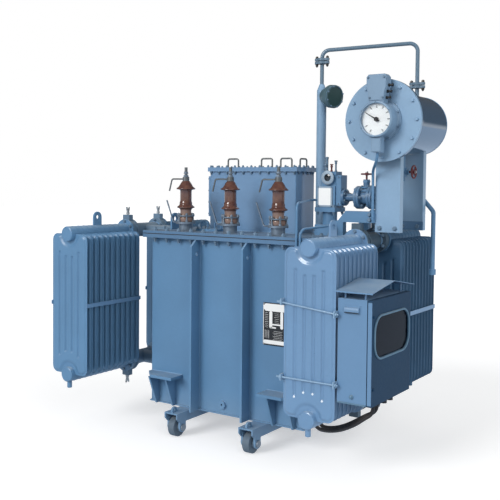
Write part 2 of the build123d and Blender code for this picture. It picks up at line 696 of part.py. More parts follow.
def valve_handle(x, y_middle, side, half_gap, z, up):
    y = y_middle + side * (half_gap - HEADER_STUB - VALVE_WIDTH / 2)
    neck_end = z + up * (HEADER_DIAMETER / 2 + VALVE_NECK_HEIGHT)
    tip = neck_end + up * VALVE_STEM_LENGTH
    handle = rod((x, y, neck_end - up * 29), (x, y, tip), VALVE_STEM_DIAMETER)
    handle += rod((x, y, neck_end + up * 4), (x, y, tip), HANDLE_HUB_DIAMETER)
    z0, z1 = sorted((tip, tip + up * HANDLE_HEIGHT))
    half = HANDLE_THICKNESS / 2
    wide = HANDLE_WIDTH / 2
    if up > 0:
        points = [(-8, z0), (8, z0), (wide, z1), (wide - 8, z1), (0, z0 + 14), (8 - wide, z1), (-wide, z1)]
    else:
        points = [(-8, z1), (8, z1), (wide, z0), (wide - 8, z0), (0, z1 - 14), (8 - wide, z0), (-wide, z0)]
    return handle + side_plate([(y + a, b) for a, b in points], x - half, HANDLE_THICKNESS)


def radiator_pipes(right):
    """The branch pipes from the tank wall to a pair of radiators, with their four valves."""
    x, middle, half_gap = pair_layout(right)
    wall = TANK_LENGTH / 2 if right else -TANK_LENGTH / 2
    reach = half_gap - HEADER_STUB - VALVE_WIDTH
    solids = []
    for z, up in ((PANEL_BOTTOM, -1), (PANEL_TOP, 1)):
        tee = rod((x, middle - reach, z), (x, middle + reach, z), HEADER_DIAMETER)
        for side in (-1, 1):
            end = middle + side * reach
            tee += rod((x, end, z), (x, end - side * FLANGE_THICKNESS, z), FLANGE_DIAMETER)
        if up < 0:
            tee += rod((wall, middle, z), (x, middle, z), BRANCH_DIAMETER)
            near = wall + (FLANGE_THICKNESS if right else -FLANGE_THICKNESS)
            tee += rod((wall, middle, z), (near, middle, z), FLANGE_DIAMETER)
        else:
            low = z - BRANCH_DROP
            bend_x = wall + (RIM_WIDTH + UPPER_BRANCH_CLEARANCE) * (1 if right else -1)
            route = [(x, middle, z), (bend_x, middle, z), (bend_x, middle, low), (wall, middle, low)]
            tee += bent_bar(route, UPPER_BRANCH_DIAMETER, UPPER_BRANCH_BEND)
        solids.append(tee)
        solids += [valve_body(x, middle, side, half_gap, z, up) for side in (-1, 1)]
    return solids


def radiator_band(x, inner_y, side, outward):
    """The flat strap across the panels' outer edges at mid height."""
    z = PANEL_BOTTOM + PANEL_HEIGHT / 2
    face = x + outward * (PANEL_WIDTH / 2 + SEAT_GAP)
    outer = face + outward * BAND_THICKNESS
    y0, y1 = sorted((inner_y, inner_y + side * STACK_DEPTH))
    x0, x1 = sorted((face, outer))
    return block(x0, x1, y0, y1, z - BAND_HEIGHT / 2, z + BAND_HEIGHT / 2)


# Conservator drum on its legs and arms
def conservator_drum():
    rear = DRUM_FRONT_Y + DRUM_LENGTH
    drum = rod((DRUM_X, DRUM_FRONT_Y, DRUM_Z), (DRUM_X, rear, DRUM_Z), DRUM_DIAMETER)
    ball = (DRUM_RADIUS ** 2 + DRUM_DISH ** 2) / (2 * DRUM_DISH)
    dish = Pos(DRUM_X, rear + DRUM_DISH - ball, DRUM_Z) * Sphere(ball)
    dish &= rod((DRUM_X, rear - 1, DRUM_Z), (DRUM_X, rear + DRUM_DISH + 1, DRUM_Z), DRUM_DIAMETER)
    drum += dish
    front = DRUM_FRONT_Y - END_FLANGE_THICKNESS
    return drum + rod((DRUM_X, front, DRUM_Z), (DRUM_X, DRUM_FRONT_Y, DRUM_Z), END_FLANGE_DIAMETER)


def conservator_end_cover():
    back = DRUM_FRONT_Y - END_FLANGE_THICKNESS
    front = back - END_COVER_THICKNESS
    return rod((DRUM_X, front, DRUM_Z), (DRUM_X, back, DRUM_Z), END_FLANGE_DIAMETER)


def conservator_leg(y):
    """A channel leg, open to the rear, cut to sit under the drum."""
    foot = TANK_UNDERSIDE + LEG_FOOT
    half = LEG_WIDTH / 2
    leg = block(DRUM_X - half, DRUM_X + half, y, y + LEG_DEPTH, foot, DRUM_Z)
    inside = half - LEG_WALL
    leg -= block(DRUM_X - inside, DRUM_X + inside, y + LEG_WALL, y + LEG_DEPTH, foot + LEG_WALL, DRUM_Z)
    seat = DRUM_DIAMETER + 2 * SEAT_GAP
    return leg - rod((DRUM_X, y - 1, DRUM_Z), (DRUM_X, y + LEG_DEPTH + 1, DRUM_Z), seat)


def conservator_arm(leg_y):
    """A plate-sided arm from the rim's right edge, up and over to the side of a leg."""
    root = TANK_LENGTH / 2 + RIM_WIDTH
    end = DRUM_X - LEG_WIDTH / 2
    top = TANK_UNDERSIDE + ARM_TOP
    under = top - ARM_HEIGHT
    points = [(root, RIM_UNDERSIDE), (root, under + 6), (root + ARM_SHOULDER, under + 10)]
    points += [(root + ARM_SHOULDER + ARM_SLOPE, top), (end, top), (end, under)]
    points += [(root + ARM_ROOT_WIDTH, under), (root + ARM_ROOT_WIDTH, RIM_UNDERSIDE + ARM_TOE_RISE)]
    points += [(root + ARM_TOE, RIM_UNDERSIDE)]
    y = leg_y - ARM_SETBACK
    outline = Polyline(*[(x, y, z) for x, z in points], close=True)
    return extrude(make_face(outline), ARM_DEPTH, dir=(0, 1, 0))


# Oil level gauge on the end cover
GAUGE_BACK_Y = DRUM_FRONT_Y - END_FLANGE_THICKNESS - END_COVER_THICKNESS
GAUGE_FRONT_Y = GAUGE_BACK_Y - GAUGE_DEPTH
DIAL_Y = GAUGE_FRONT_Y + GAUGE_RECESS


def oil_level_gauge():
    x, z = DRUM_X, DRUM_Z
    body = rod((x, GAUGE_BACK_Y, z), (x, GAUGE_BACK_Y - GAUGE_RING_THICKNESS, z), GAUGE_RING_DIAMETER)
    body += rod((x, GAUGE_BACK_Y, z), (x, GAUGE_FRONT_Y, z), GAUGE_DIAMETER)
    body -= rod((x, DIAL_Y, z), (x, GAUGE_FRONT_Y - 1, z), GAUGE_FACE_DIAMETER)
    base = z + GAUGE_DIAMETER / 2 - 12
    wide, tall = TERMINAL_BOX_WIDTH, TERMINAL_BOX_HEIGHT
    edge = [(0.36 * wide, 0), (0.42 * wide, 0.36 * tall), (0.5 * wide, 0.55 * tall)]
    edge += [(0.5 * wide, 0.91 * tall), (0.4 * wide, tall)]
    edge += [(-a, b) for a, b in reversed(edge)]
    front = GAUGE_FRONT_Y + 10
    shield = make_face(Polyline(*[(x + a, front, base + b) for a, b in edge], close=True))
    box = extrude(shield, TERMINAL_BOX_DEPTH, dir=(0, 1, 0))
    box -= rod((x, GAUGE_BACK_Y, z), (x, GAUGE_FRONT_Y, z), GAUGE_DIAMETER - 6)
    body += box
    low = z - GAUGE_DIAMETER / 2
    half = GLAND_BOX_WIDTH / 2
    body += block(x - half, x + half, GAUGE_FRONT_Y + 14, GAUGE_FRONT_Y + 62, low - GLAND_BOX_DROP, low + 14)
    body -= rod((x, DIAL_Y, z), (x, GAUGE_FRONT_Y - 1, z), GAUGE_FACE_DIAMETER)
    return body - rod((x, DIAL_Y + 14, z), (x, DIAL_Y - 1, z), 8 + 2 * PIN_CLEARANCE)


def gauge_pointer():
    x, z = DRUM_X, DRUM_Z
    y = DIAL_Y - 6
    pin = rod((x, DIAL_Y + 13, z), (x, y, z), 8)
    hub = rod((x, y, z), (x, y - 6, z), POINTER_HUB_DIAMETER)
    outline = [(-5, -20), (5, -20), (1.5, POINTER_LENGTH), (-1.5, POINTER_LENGTH)]
    blade = make_face(Polyline(*[(a, 0, b) for a, b in outline], close=True))
    blade = extrude(blade, POINTER_THICKNESS, dir=(0, 1, 0))
    return pin + hub + Pos(x, y - 3, z) * Rot(0, -60, 0) * blade


def gauge_glass():
    x, z = DRUM_X, DRUM_Z
    back = GAUGE_FRONT_Y + GLASS_THICKNESS
    return rod((x, back, z), (x, GAUGE_FRONT_Y, z), GAUGE_FACE_DIAMETER - 2 * SEAT_GAP)


# Explosion vent with its diaphragm mouth, and the equalising pipe
MOUTH_DIRECTION = Vector(0.92, -0.32, -0.12).normalized()
MOUTH_START = Vector(VENT_X, VENT_Y, TANK_UNDERSIDE + VENT_TOP - MOUTH_DROP)
MOUTH_FACE = MOUTH_START + MOUTH_DIRECTION * MOUTH_NECK


def vent_pipe():
    top = TANK_UNDERSIDE + VENT_TOP
    pipe = rod((VENT_X, VENT_Y, COVER_TOP), (VENT_X, VENT_Y, top), VENT_DIAMETER)
    pipe += rod((VENT_X, VENT_Y, COVER_TOP), (VENT_X, VENT_Y, COVER_TOP + FLANGE_THICKNESS),
                VENT_FLANGE_DIAMETER)
    cone_top = top + 40
    cone = [(0, top), (VENT_DIAMETER / 2, top), (EQUALISER_DIAMETER / 2 + 3, cone_top), (0, cone_top)]
    pipe += turned(cone, VENT_X, VENT_Y)
    length = MOUTH_NECK - MOUTH_THICKNESS
    funnel = Cone(MOUTH_ROOT_DIAMETER / 2, MOUTH_FUNNEL_DIAMETER / 2, length)
    pipe += Plane(MOUTH_START, z_dir=MOUTH_DIRECTION).location * Pos(0, 0, length / 2) * funnel
    return pipe + rod(MOUTH_FACE - MOUTH_DIRECTION * MOUTH_THICKNESS, MOUTH_FACE, MOUTH_DIAMETER)


def vent_diaphragm():
    return rod(MOUTH_FACE, MOUTH_FACE + MOUTH_DIRECTION * 4, MOUTH_DIAMETER - 22)


def equalising_pipe():
    left = TANK_UNDERSIDE + EQUALISER_LEFT_TOP
    right = TANK_UNDERSIDE + EQUALISER_RIGHT_TOP
    start = TANK_UNDERSIDE + VENT_TOP + 40
    crest = DRUM_Z + DRUM_RADIUS
    points = [(VENT_X, VENT_Y, start), (VENT_X, VENT_Y, left), (DRUM_X, EQUALISER_Y, right)]
    points += [(DRUM_X, EQUALISER_Y, crest + SEAT_GAP)]
    pipe = bent_bar(points, EQUALISER_DIAMETER, EQUALISER_BEND)
    for x, y, z in ((VENT_X, VENT_Y, left - EQUALISER_UNION_DROP), (DRUM_X, EQUALISER_Y, crest + EQUALISER_UNION_RISE)):
        pipe += rod((x, y, z), (x, y, z + UNION_THICKNESS), UNION_DIAMETER)
        pipe += rod((x, y, z - UNION_THICKNESS - 4), (x, y, z - 4), UNION_DIAMETER)
        pipe += rod((x, y, z - 5), (x, y, z + 1), EQUALISER_DIAMETER + 10)
    return pipe


# Gas relay, oil pipe and gate valve
def gas_relay():
    """The relay on a square turret, with its sight glass, gas chamber and terminal box."""
    x, y = RELAY_X, RELAY_Y
    foot = TANK_UNDERSIDE + RELAY_FOOT
    flange_low = foot - RELAY_FLANGE_THICKNESS
    half = RELAY_FLANGE / 2
    turret_top = COVER_TOP + TURRET_HEIGHT
    body = block(x - half, x + half, y - half, y + half, COVER_TOP, turret_top)
    body += rod((x, y, turret_top), (x, y, flange_low), RISER_DIAMETER)
    body += block(x - half, x + half, y - half, y + half, flange_low, foot)
    top = foot + RELAY_HEIGHT
    half_w, half_d = RELAY_WIDTH / 2, RELAY_DEPTH / 2
    body += block(x - half_w, x + half_w, y - half_d, y + half_d, foot, top)
    body += block(x - 34, x + half_w, y - 40, y + 40, top, top + 90)
    eye_z = top + 52
    body += rod((x + 12, y - half_d - 8, eye_z), (x + 12, y, eye_z), 72)
    return body + block(x + half_w, x + half_w + RELAY_BOX_WIDTH, y - 36, y + 36, foot + 10, foot + 200)


def oil_pipe():
    z = OIL_PIPE_Z
    y = RELAY_Y
    start = RELAY_X + RELAY_WIDTH / 2 + RELAY_BOX_WIDTH
    pipe = bent_bar([(start, y, z), (DRUM_X, y, z), (DRUM_X, y, DRUM_Z - DRUM_RADIUS - SEAT_GAP)],
                    OIL_PIPE_DIAMETER, 60)
    pipe += rod((start, y, z), (start + GATE_FLANGE_THICKNESS, y, z), 100)
    half = GATE_LENGTH / 2
    pipe += rod((GATE_X - half, y, z), (GATE_X + half, y, z), GATE_BODY_DIAMETER)
    for side in (-1, 1):
        near, far = half - GATE_FLANGE_THICKNESS, half + GATE_FLANGE_THICKNESS
        for start, end in ((near, half - 1), (half + 1, far)):
            pipe += rod((GATE_X + side * start, y, z), (GATE_X + side * end, y, z), GATE_FLANGE_DIAMETER)
        seam = GATE_FLANGE_DIAMETER - 1.5 * GATE_FLANGE_THICKNESS
        pipe += rod((GATE_X + side * near, y, z), (GATE_X + side * far, y, z), seam)
    top = GATE_BONNET_TOP
    pipe += rod((GATE_X, y, z), (GATE_X, y, top), GATE_BONNET_DIAMETER)
    return pipe - rod((GATE_X, y, top - 40), (GATE_X, y, top + 1), SPINDLE_DIAMETER + 2 * PIN_CLEARANCE)


def handwheel(diameter, spindle):
    """A four-spoked handwheel across Z at the origin, with its spindle running down."""
    outer = diameter / 2
    rim = Cylinder(outer, HANDWHEEL_RIM) - Cylinder(outer - HANDWHEEL_RIM, HANDWHEEL_RIM)
    rim = fillet(rim.edges().filter_by(GeomType.CIRCLE), 0.4 * HANDWHEEL_RIM)
    reach = outer - HANDWHEEL_RIM / 2
    cross = rod((-reach, 0, 0), (reach, 0, 0), HANDWHEEL_SPOKE)
    cross += rod((0, -reach, 0), (0, reach, 0), HANDWHEEL_SPOKE)
    hub = rod((0, 0, -0.75 * HANDWHEEL_RIM), (0, 0, 0.75 * HANDWHEEL_RIM), HANDWHEEL_HUB)
    hub += rod((0, 0, -spindle), (0, 0, 0), SPINDLE_DIAMETER)
    return rim + (hub + Rot(0, 0, 45) * cross)


def drain_valve():
    z = DRAIN_VALVE_Z
    y = DRAIN_VALVE_Y
    top = DRUM_LOW - SEAT_GAP
    half = DRAIN_VALVE_BODY / 2
    valve = rod((DRUM_X, y, z - DRAIN_VALVE_BODY), (DRUM_X, y, top), DRAIN_VALVE_DIAMETER)
    valve += rod((DRUM_X, y, z - half), (DRUM_X, y, z + half), DRAIN_VALVE_BODY)
    valve += rod((DRUM_X, y, z), (DRAIN_BONNET_X, y, z), DRAIN_VALVE_DIAMETER)
    bore = SPINDLE_DIAMETER + 2 * PIN_CLEARANCE
    return valve - rod((DRAIN_BONNET_X - DRAIN_WHEEL_RISE, y, z), (DRAIN_BONNET_X + 1, y, z), bore)


def breather_pipe():
    """From a boss under the drum, over and down beside the rear leg."""
    x = DRUM_X + BREATHER_TAP_REACH
    end_x = DRUM_X + BREATHER_REACH
    tap = DRUM_Z - sqrt(DRUM_RADIUS ** 2 - BREATHER_TAP_REACH ** 2)
    bend = tap - BREATHER_BEND_DROP + BREATHER_JOG
    low = tap - BREATHER_END_DROP
    y = BREATHER_Y
    points = [(x, y, tap - 12), (x, y, bend), (end_x, y, bend - BREATHER_JOG), (end_x, y, low)]
    pipe = bent_bar(points, BREATHER_DIAMETER, BREATHER_BEND)
    pipe += rod((x, y, tap - 22), (x, y, tap + 20), 1.4 * BREATHER_DIAMETER)
    pipe -= rod((DRUM_X, y - 60, DRUM_Z), (DRUM_X, y + 60, DRUM_Z), DRUM_DIAMETER + 2 * SEAT_GAP)
    return pipe + rod((end_x, y, low), (end_x, y, low + BREATHER_COUPLING), 1.5 * BREATHER_DIAMETER)


# Marshalling box
def hinge_levels():
    return [BOX_BOTTOM_Z + HINGE_INSET, BOX_TOP_Z - HINGE_INSET]


HINGE_X = BOX_MOUTH_X + DOOR_GAP / 2
HINGE_Y = BOX_REAR_Y + HINGE_OFFSET


def marshalling_box():
    box = block(BOX_BACK_X, BOX_MOUTH_X, BOX_FRONT_Y, BOX_REAR_Y, BOX_BOTTOM_Z, BOX_TOP_Z)
    wall = BOX_WALL
    box -= block(BOX_BACK_X + wall, BOX_MOUTH_X + 1, BOX_FRONT_Y + wall, BOX_REAR_Y - wall, BOX_BOTTOM_Z + wall,
                 BOX_TOP_Z - wall)
    radius = HINGE_KNUCKLE_DIAMETER / 2
    for z in hinge_levels():
        for side in (-1, 1):
            near = z + side * (HINGE_KNUCKLE_LENGTH / 2 + 0.5)
            far = near + side * HINGE_KNUCKLE_LENGTH
            z0, z1 = sorted((near, far))
            box += block(HINGE_X - 30, HINGE_X - 2, BOX_REAR_Y, BOX_REAR_Y + 3, z0, z1)
            box += block(HINGE_X - radius, HINGE_X - 2, BOX_REAR_Y, HINGE_Y, z0, z1)
            box += rod((HINGE_X, HINGE_Y, z0), (HINGE_X, HINGE_Y, z1), HINGE_KNUCKLE_DIAMETER)
        reach = 1.5 * HINGE_KNUCKLE_LENGTH
        box += rod((HINGE_X, HINGE_Y, z - reach), (HINGE_X, HINGE_Y, z + reach), HINGE_PIN_DIAMETER)
    return box


def window_outline(grow):
    """The window's rounded outline on the door, as a sketch across X."""
    middle_y = BOX_FRONT_Y + BOX_LENGTH / 2
    centre = (DOOR_BACK_X, middle_y, TANK_UNDERSIDE + WINDOW_CENTRE_HEIGHT)
    plane = Plane(centre, x_dir=(0, 1, 0), z_dir=(1, 0, 0))
    return plane * RectangleRounded(WINDOW_LENGTH + 2 * grow, WINDOW_HEIGHT + 2 * grow, WINDOW_CORNER + grow)


def marshalling_door():
    """A folded steel pan with a window cut-out and the door's hinge knuckles."""
    door = block(DOOR_BACK_X, DOOR_FACE_X, BOX_FRONT_Y, BOX_REAR_Y, BOX_BOTTOM_Z, BOX_TOP_Z)
    wall = DOOR_SKIN
    door -= block(DOOR_BACK_X - 1, DOOR_FACE_X - wall, BOX_FRONT_Y + wall, BOX_REAR_Y - wall,
                  BOX_BOTTOM_Z + wall, BOX_TOP_Z - wall)
    door -= extrude(window_outline(0), 2 * DOOR_THICKNESS)
    bore = HINGE_PIN_DIAMETER + 2 * PIN_CLEARANCE
    for z in hinge_levels():
        z0, z1 = z - HINGE_KNUCKLE_LENGTH / 2, z + HINGE_KNUCKLE_LENGTH / 2
        door += block(HINGE_X + 2, HINGE_X + HINGE_KNUCKLE_DIAMETER / 2, BOX_REAR_Y, HINGE_Y, z0, z1)
        door += rod((HINGE_X, HINGE_Y, z0), (HINGE_X, HINGE_Y, z1), HINGE_KNUCKLE_DIAMETER)
        door -= rod((HINGE_X, HINGE_Y, z0 - 1), (HINGE_X, HINGE_Y, z1 + 1), bore)
    return door


def door_window():
    """Glass held behind the door's skin."""
    face = DOOR_FACE_X - DOOR_SKIN
    glass = extrude(window_outline(WINDOW_OVERLAP), WINDOW_GLASS)
    return Pos(face - WINDOW_GLASS - DOOR_BACK_X, 0, 0) * glass


def marshalling_roof():
    """A gabled sheet on four stand-offs."""
    middle = (BOX_FRONT_Y + BOX_REAR_Y) / 2
    half = BOX_LENGTH / 2 + ROOF_OVERHANG
    eave = BOX_TOP_Z + ROOF_GAP
    ridge = eave + ROOF_RISE
    t = ROOF_SHEET
    points = [(middle - half, eave), (middle, ridge), (middle + half, eave), (middle + half, eave + t)]
    points += [(middle, ridge + t), (middle - half, eave + t)]
    roof = side_plate(points, ROOF_LEFT_X, ROOF_RIGHT_X - ROOF_LEFT_X)
    for x in (BOX_BACK_X + 30, BOX_MOUTH_X - 22):
        for y in (BOX_FRONT_Y + 26, BOX_REAR_Y - 26):
            under = ridge - abs(y - middle) / half * ROOF_RISE
            roof += rod((x, y, BOX_TOP_Z), (x, y, under + t / 2), 12)
    return roof


def box_clamps():
    """Flat bars on both sides of the front right radiator, drawn together by rods, which carry the box."""
    right_bar = RIGHT_RADIATOR_X + PANEL_WIDTH / 2 + SEAT_GAP
    left_bar = RIGHT_RADIATOR_X - PANEL_WIDTH / 2 - SEAT_GAP - CLAMP_BAR_THICKNESS
    stack_front = -RIGHT_GAP / 2 - STACK_DEPTH
    stack_rear = -RIGHT_GAP / 2
    rod_y = (stack_front - CLAMP_ROD_OFFSET, stack_rear + CLAMP_ROD_OFFSET)
    margin = HEADER_CAP - CLAMP_ROD_OFFSET
    y0 = rod_y[0] - margin
    y1 = rod_y[1] + margin
    solids = []
    for left_z, right_z in ((CLAMP_UPPER_LEFT, CLAMP_UPPER_RIGHT), (CLAMP_LOWER, CLAMP_LOWER)):
        zl, zr = TANK_UNDERSIDE + left_z, TANK_UNDERSIDE + right_z
        half = CLAMP_BAR_HEIGHT / 2
        frame = block(left_bar, left_bar + CLAMP_BAR_THICKNESS, y0, y1, zl - half, zl + half)
        frame += block(right_bar, right_bar + CLAMP_BAR_THICKNESS, y0, y1, zr - half, zr + half)
        for y in rod_y:
            start = Vector(left_bar - 26, y, zl)
            end = Vector(right_bar + CLAMP_BAR_THICKNESS + 16, y, zr)
            if y == rod_y[1]:
                end = Vector(right_bar + CLAMP_BAR_THICKNESS, y, zr)
            frame += rod(start, end, CLAMP_ROD_DIAMETER)
            frame += rod((left_bar, y, zl), (left_bar - 9, y, zl), 20)
        frame += rod((BOX_BACK_X, rod_y[0], zr), (BOX_BACK_X + 9, rod_y[0], zr), 20)
        solids.append(frame)
    return solids


# Control cables from the marshalling box to the tank's right wall.
# Each point is a share of the way from wall to gland, a Y, and a share of the gland's height.
CABLE_ROUTES = [
    [(1.0, -546, 1.0), (1.0, -546, 0.85), (0.909, -560, 0.724), (0.808, -551, 0.573), (0.661, -531, 0.416),
     (0.514, -500, 0.301), (0.367, -455, 0.222), (0.239, -400, 0.165), (0.12, -335, 0.18), (0.033, -335, 0.18)],
    [(1.0, -500, 1.0), (1.0, -500, 0.86), (0.909, -530, 0.774), (0.808, -522, 0.642), (0.661, -502, 0.47),
     (0.514, -470, 0.341), (0.367, -420, 0.251), (0.239, -360, 0.186), (0.12, -275, 0.18), (0.033, -275, 0.18)],
]


def cable_points(route):
    """A route's points in the part's own frame."""
    reach = BOX_MOUTH_X - GLAND_INSET - WALL_X
    rise = BOX_FLOOR - GLAND_LENGTH
    return [(WALL_X + a * reach, y, TANK_UNDERSIDE + b * rise) for a, y, b in route]


def corner_radii(points, share=0.45):
    """The largest arcs that the runs allow, one for each corner."""
    radii = []
    for a, b, c in zip(points, points[1:], points[2:]):
        first, second = Vector(*b) - Vector(*a), Vector(*c) - Vector(*b)
        turn = radians(first.get_angle(second))
        radii.append(share * min(first.length, second.length) / tan(turn / 2))
    return radii


def control_cable(route):
    points = cable_points(route)
    radii = corner_radii(points)
    print("cable radii", [round(r) for r in radii])
    path = FilletPolyline(*points, radius=radii)
    cable = sweep(Plane(path @ 0, z_dir=path % 0) * Circle(CABLE_DIAMETER / 2), path=path)
    area = pi * CABLE_DIAMETER ** 2 / 4
    print("cable length", round(path.length, 1), "volume ratio", round(cable.volume / (area * path.length), 4))
    return cable


def cable_glands():
    solids = []
    for route in CABLE_ROUTES:
        first, *between, last = cable_points(route)
        x, y, z = first
        solids.append(rod((x, y, z), (x, y, BOX_BOTTOM_Z), GLAND_DIAMETER))
        x, y, z = last
        solids.append(rod((x, y, z), (WALL_X, y, z), GLAND_DIAMETER))
    x = BOX_MOUTH_X - GLAND_INSET
    for i in range(SPARE_GLAND_COUNT):
        y = BOX_FRONT_Y + SPARE_GLAND_START + i * SPARE_GLAND_PITCH
        solids.append(rod((x, y, BOX_BOTTOM_Z - SPARE_GLAND_LENGTH), (x, y, BOX_BOTTOM_Z), GLAND_DIAMETER))
    return solids


# Small fittings on the cover
CONDUIT_DIAMETER = 15.0
CONDUIT_BEND = 45.0
CONDUIT_RUN = 70.0
CONDUIT_INSETS = (30.0, 5.0)
CONDUIT_DROP = 230.0
CONDUIT_ARM_RISE = 66.0
LUG_INSET = 26.0
LUG_Y = -150.0
LUG_WIDTH = 80.0
LUG_HEIGHT = 112.0
LUG_HOLE = 34.0
LUG_THICKNESS = 14.0
HATCH_X = -245.0
HATCH_Y = -160.0
HATCH_LENGTH = 170.0
HATCH_WIDTH = 110.0
HATCH_THICKNESS = 14.0
HATCH_HANDLE_HEIGHT = 49.0
HATCH_HANDLE_WIDTH = 52.0
HATCH_HANDLE_PITCH = 110.0
HATCH_HANDLE_DIAMETER = 10.0


def cover_lifting_lug():
    """The left lifting lug: a round-headed plate with an eye."""
    z = COVER_TOP
    left = -WALL_X + LUG_INSET - LUG_THICKNESS / 2
    right = left + LUG_THICKNESS
    half = LUG_WIDTH / 2
    eye_z = z + LUG_HEIGHT - half
    lug = block(left, right, LUG_Y - half, LUG_Y + half, z, eye_z)
    lug += rod((left, LUG_Y, eye_z), (right, LUG_Y, eye_z), LUG_WIDTH)
    return lug - rod((left - 1, LUG_Y, eye_z), (right + 1, LUG_Y, eye_z), LUG_HOLE)


def inspection_cover():
    """A bolted hatch with two lifting handles."""
    z = COVER_TOP
    half_x, half_y = HATCH_LENGTH / 2, HATCH_WIDTH / 2
    top = z + HATCH_THICKNESS
    plate = block(HATCH_X - half_x, HATCH_X + half_x, HATCH_Y - half_y, HATCH_Y + half_y, z, top)
    half = HATCH_HANDLE_WIDTH / 2
    crest = top + HATCH_HANDLE_HEIGHT - HATCH_HANDLE_DIAMETER / 2
    for x in (HATCH_X - HATCH_HANDLE_PITCH / 2, HATCH_X + HATCH_HANDLE_PITCH / 2):
        points = [(x - half, HATCH_Y, top), (x - half, HATCH_Y, crest), (x + half, HATCH_Y, crest)]
        points.append((x + half, HATCH_Y, top))
        plate += bent_bar(points, HATCH_HANDLE_DIAMETER, 1.2 * HATCH_HANDLE_DIAMETER)
    return plate


def cover_conduits():
    """Small conduits up the front wall and over the rim, to the relay and to the front arm."""
    edge_y = FRONT_Y - RIM_WIDTH - CONDUIT_DIAMETER / 2 - SEAT_GAP
    low = COVER_TOP - CONDUIT_DROP
    relay_left = RELAY_X - RELAY_WIDTH / 2 - SEAT_GAP
    relay_z = TANK_UNDERSIDE + RELAY_FOOT + RELAY_HEIGHT / 3
    arm_x = WALL_X + RIM_WIDTH + ARM_SHOULDER / 2
    arm_y = FRONT_LEG_Y - ARM_SETBACK - SEAT_GAP
    arm_z = COVER_TOP + CONDUIT_ARM_RISE
    first, second = [WALL_X - inset for inset in CONDUIT_INSETS]
    upper = bent_bar([(first, edge_y, low), (first, edge_y, relay_z - CONDUIT_DIAMETER),
                      (relay_left - CONDUIT_RUN, RELAY_Y, relay_z), (relay_left, RELAY_Y, relay_z)],
                     CONDUIT_DIAMETER, CONDUIT_BEND)
    lower = bent_bar([(second, edge_y, low), (second, edge_y, arm_z - CONDUIT_DIAMETER),
                      (arm_x, arm_y - 60, arm_z), (arm_x, arm_y, arm_z)], CONDUIT_DIAMETER, CONDUIT_BEND)
    return [upper, lower]


beams = {"base_beam_left": -BEAM_CENTRE_X, "base_beam_right": BEAM_CENTRE_X}
for name, x in beams.items():
    save(name, base_beam(x))
axles = []
for y, end in ((-ROLLER_Y, "front"), (ROLLER_Y, "rear")):
    for x, hand in ((-BEAM_CENTRE_X, "left"), (BEAM_CENTRE_X, "right")):
        save(f"roller_{end}_{hand}", roller(x, y))
        axles.append(roller_axle(x, y))
save("roller_axles", Compound(axles))

save("tank_body", tank_body())
save("tank_rim", tank_rim())
save("cover_gasket", cover_gasket())
save("tank_cover", tank_cover())
save("wall_stiffeners", Compound(four_corners(wall_stiffener())))
save("jacking_pads", Compound(four_corners(jacking_pad())))
save("rating_plate", rating_plate())

bushing_places = {"left": -BUSHING_PITCH, "middle": 0.0, "right": BUSHING_PITCH}
for name, x in bushing_places.items():
    save(f"hv_bushing_{name}", hv_bushing(x))
save("hv_clamp_rings", Compound([hv_clamp_ring(x) + hv_lower_horn(x) for x in bushing_places.values()]))
save("hv_terminals", Compound([hv_terminal(x) for x in bushing_places.values()]))

save("lv_box", lv_box())
save("lv_box_lid", lv_box_lid())
front_row = LV_Y - LV_DEPTH / 2 + 30
handles = [lv_handle(x, front_row, True) for x in (-171, 98, 247)]
handles.append(lv_handle(LV_LENGTH / 2 - 30, LV_Y + 30, False))
save("lv_box_handles", Compound(handles))

bands = []
for right, hand in ((False, "left"), (True, "right")):
    x, middle, half_gap = pair_layout(right)
    for side, end in ((-1, "front"), (1, "rear")):
        inner_y = middle + side * half_gap
        gap_end = middle + side * (half_gap - HEADER_STUB)
        save(f"radiator_{end}_{hand}", radiator(x, inner_y, side, gap_end))
        if not (right and side < 0):
            bands += [radiator_band(x, inner_y, side, outward) for outward in (-1, 1)]
    save(f"radiator_pipes_{hand}", Compound(radiator_pipes(right)))
save("radiator_bands", Compound(bands))
x, middle, half_gap = pair_layout(False)
save("valve_handle_top_front", valve_handle(x, middle, -1, half_gap, PANEL_TOP, 1))
save("valve_handle_top_rear", valve_handle(x, middle, 1, half_gap, PANEL_TOP, 1))
save("valve_handle_bottom_front", valve_handle(x, middle, -1, half_gap, PANEL_BOTTOM, -1))

save("conservator_drum", conservator_drum())
save("conservator_end_cover", conservator_end_cover())
leg_places = (FRONT_LEG_Y, REAR_LEG_Y)
save("conservator_legs", Compound([conservator_leg(y) for y in leg_places]))
save("conservator_arms", Compound([conservator_arm(y) for y in leg_places]))
save("oil_level_gauge", oil_level_gauge())
save("gauge_pointer", gauge_pointer())
save("gauge_glass", gauge_glass())
save("vent_pipe", vent_pipe())
save("vent_diaphragm", vent_diaphragm())
save("equalising_pipe", equalising_pipe())

save("gas_relay", gas_relay())
save("oil_pipe", oil_pipe())
save("gate_handwheel", Pos(GATE_X, RELAY_Y, GATE_WHEEL_Z) * handwheel(HANDWHEEL_DIAMETER, 1.8 * HANDWHEEL_RISE))
save("drain_valve", drain_valve())
drain_wheel = Rot(0, 90, 0) * handwheel(DRAIN_WHEEL_DIAMETER, 1.8 * DRAIN_WHEEL_RISE)
save("drain_handwheel", Pos(DRAIN_WHEEL_X, DRAIN_VALVE_Y, DRAIN_VALVE_Z) * drain_wheel)
save("breather_pipe", breather_pipe())

save("marshalling_box", marshalling_box())
save("marshalling_door", marshalling_door())
save("door_window", door_window())
save("marshalling_roof", marshalling_roof())
save("box_clamps", Compound(box_clamps()))
save("control_cable_outer", control_cable(CABLE_ROUTES[0]))
save("control_cable_inner", control_cable(CABLE_ROUTES[1]))
save("cable_glands", Compound(cable_glands()))

left_lug = cover_lifting_lug()
save("cover_fittings", Compound([left_lug, inspection_cover()]))
save("cover_conduits", Compound(cover_conduits()))
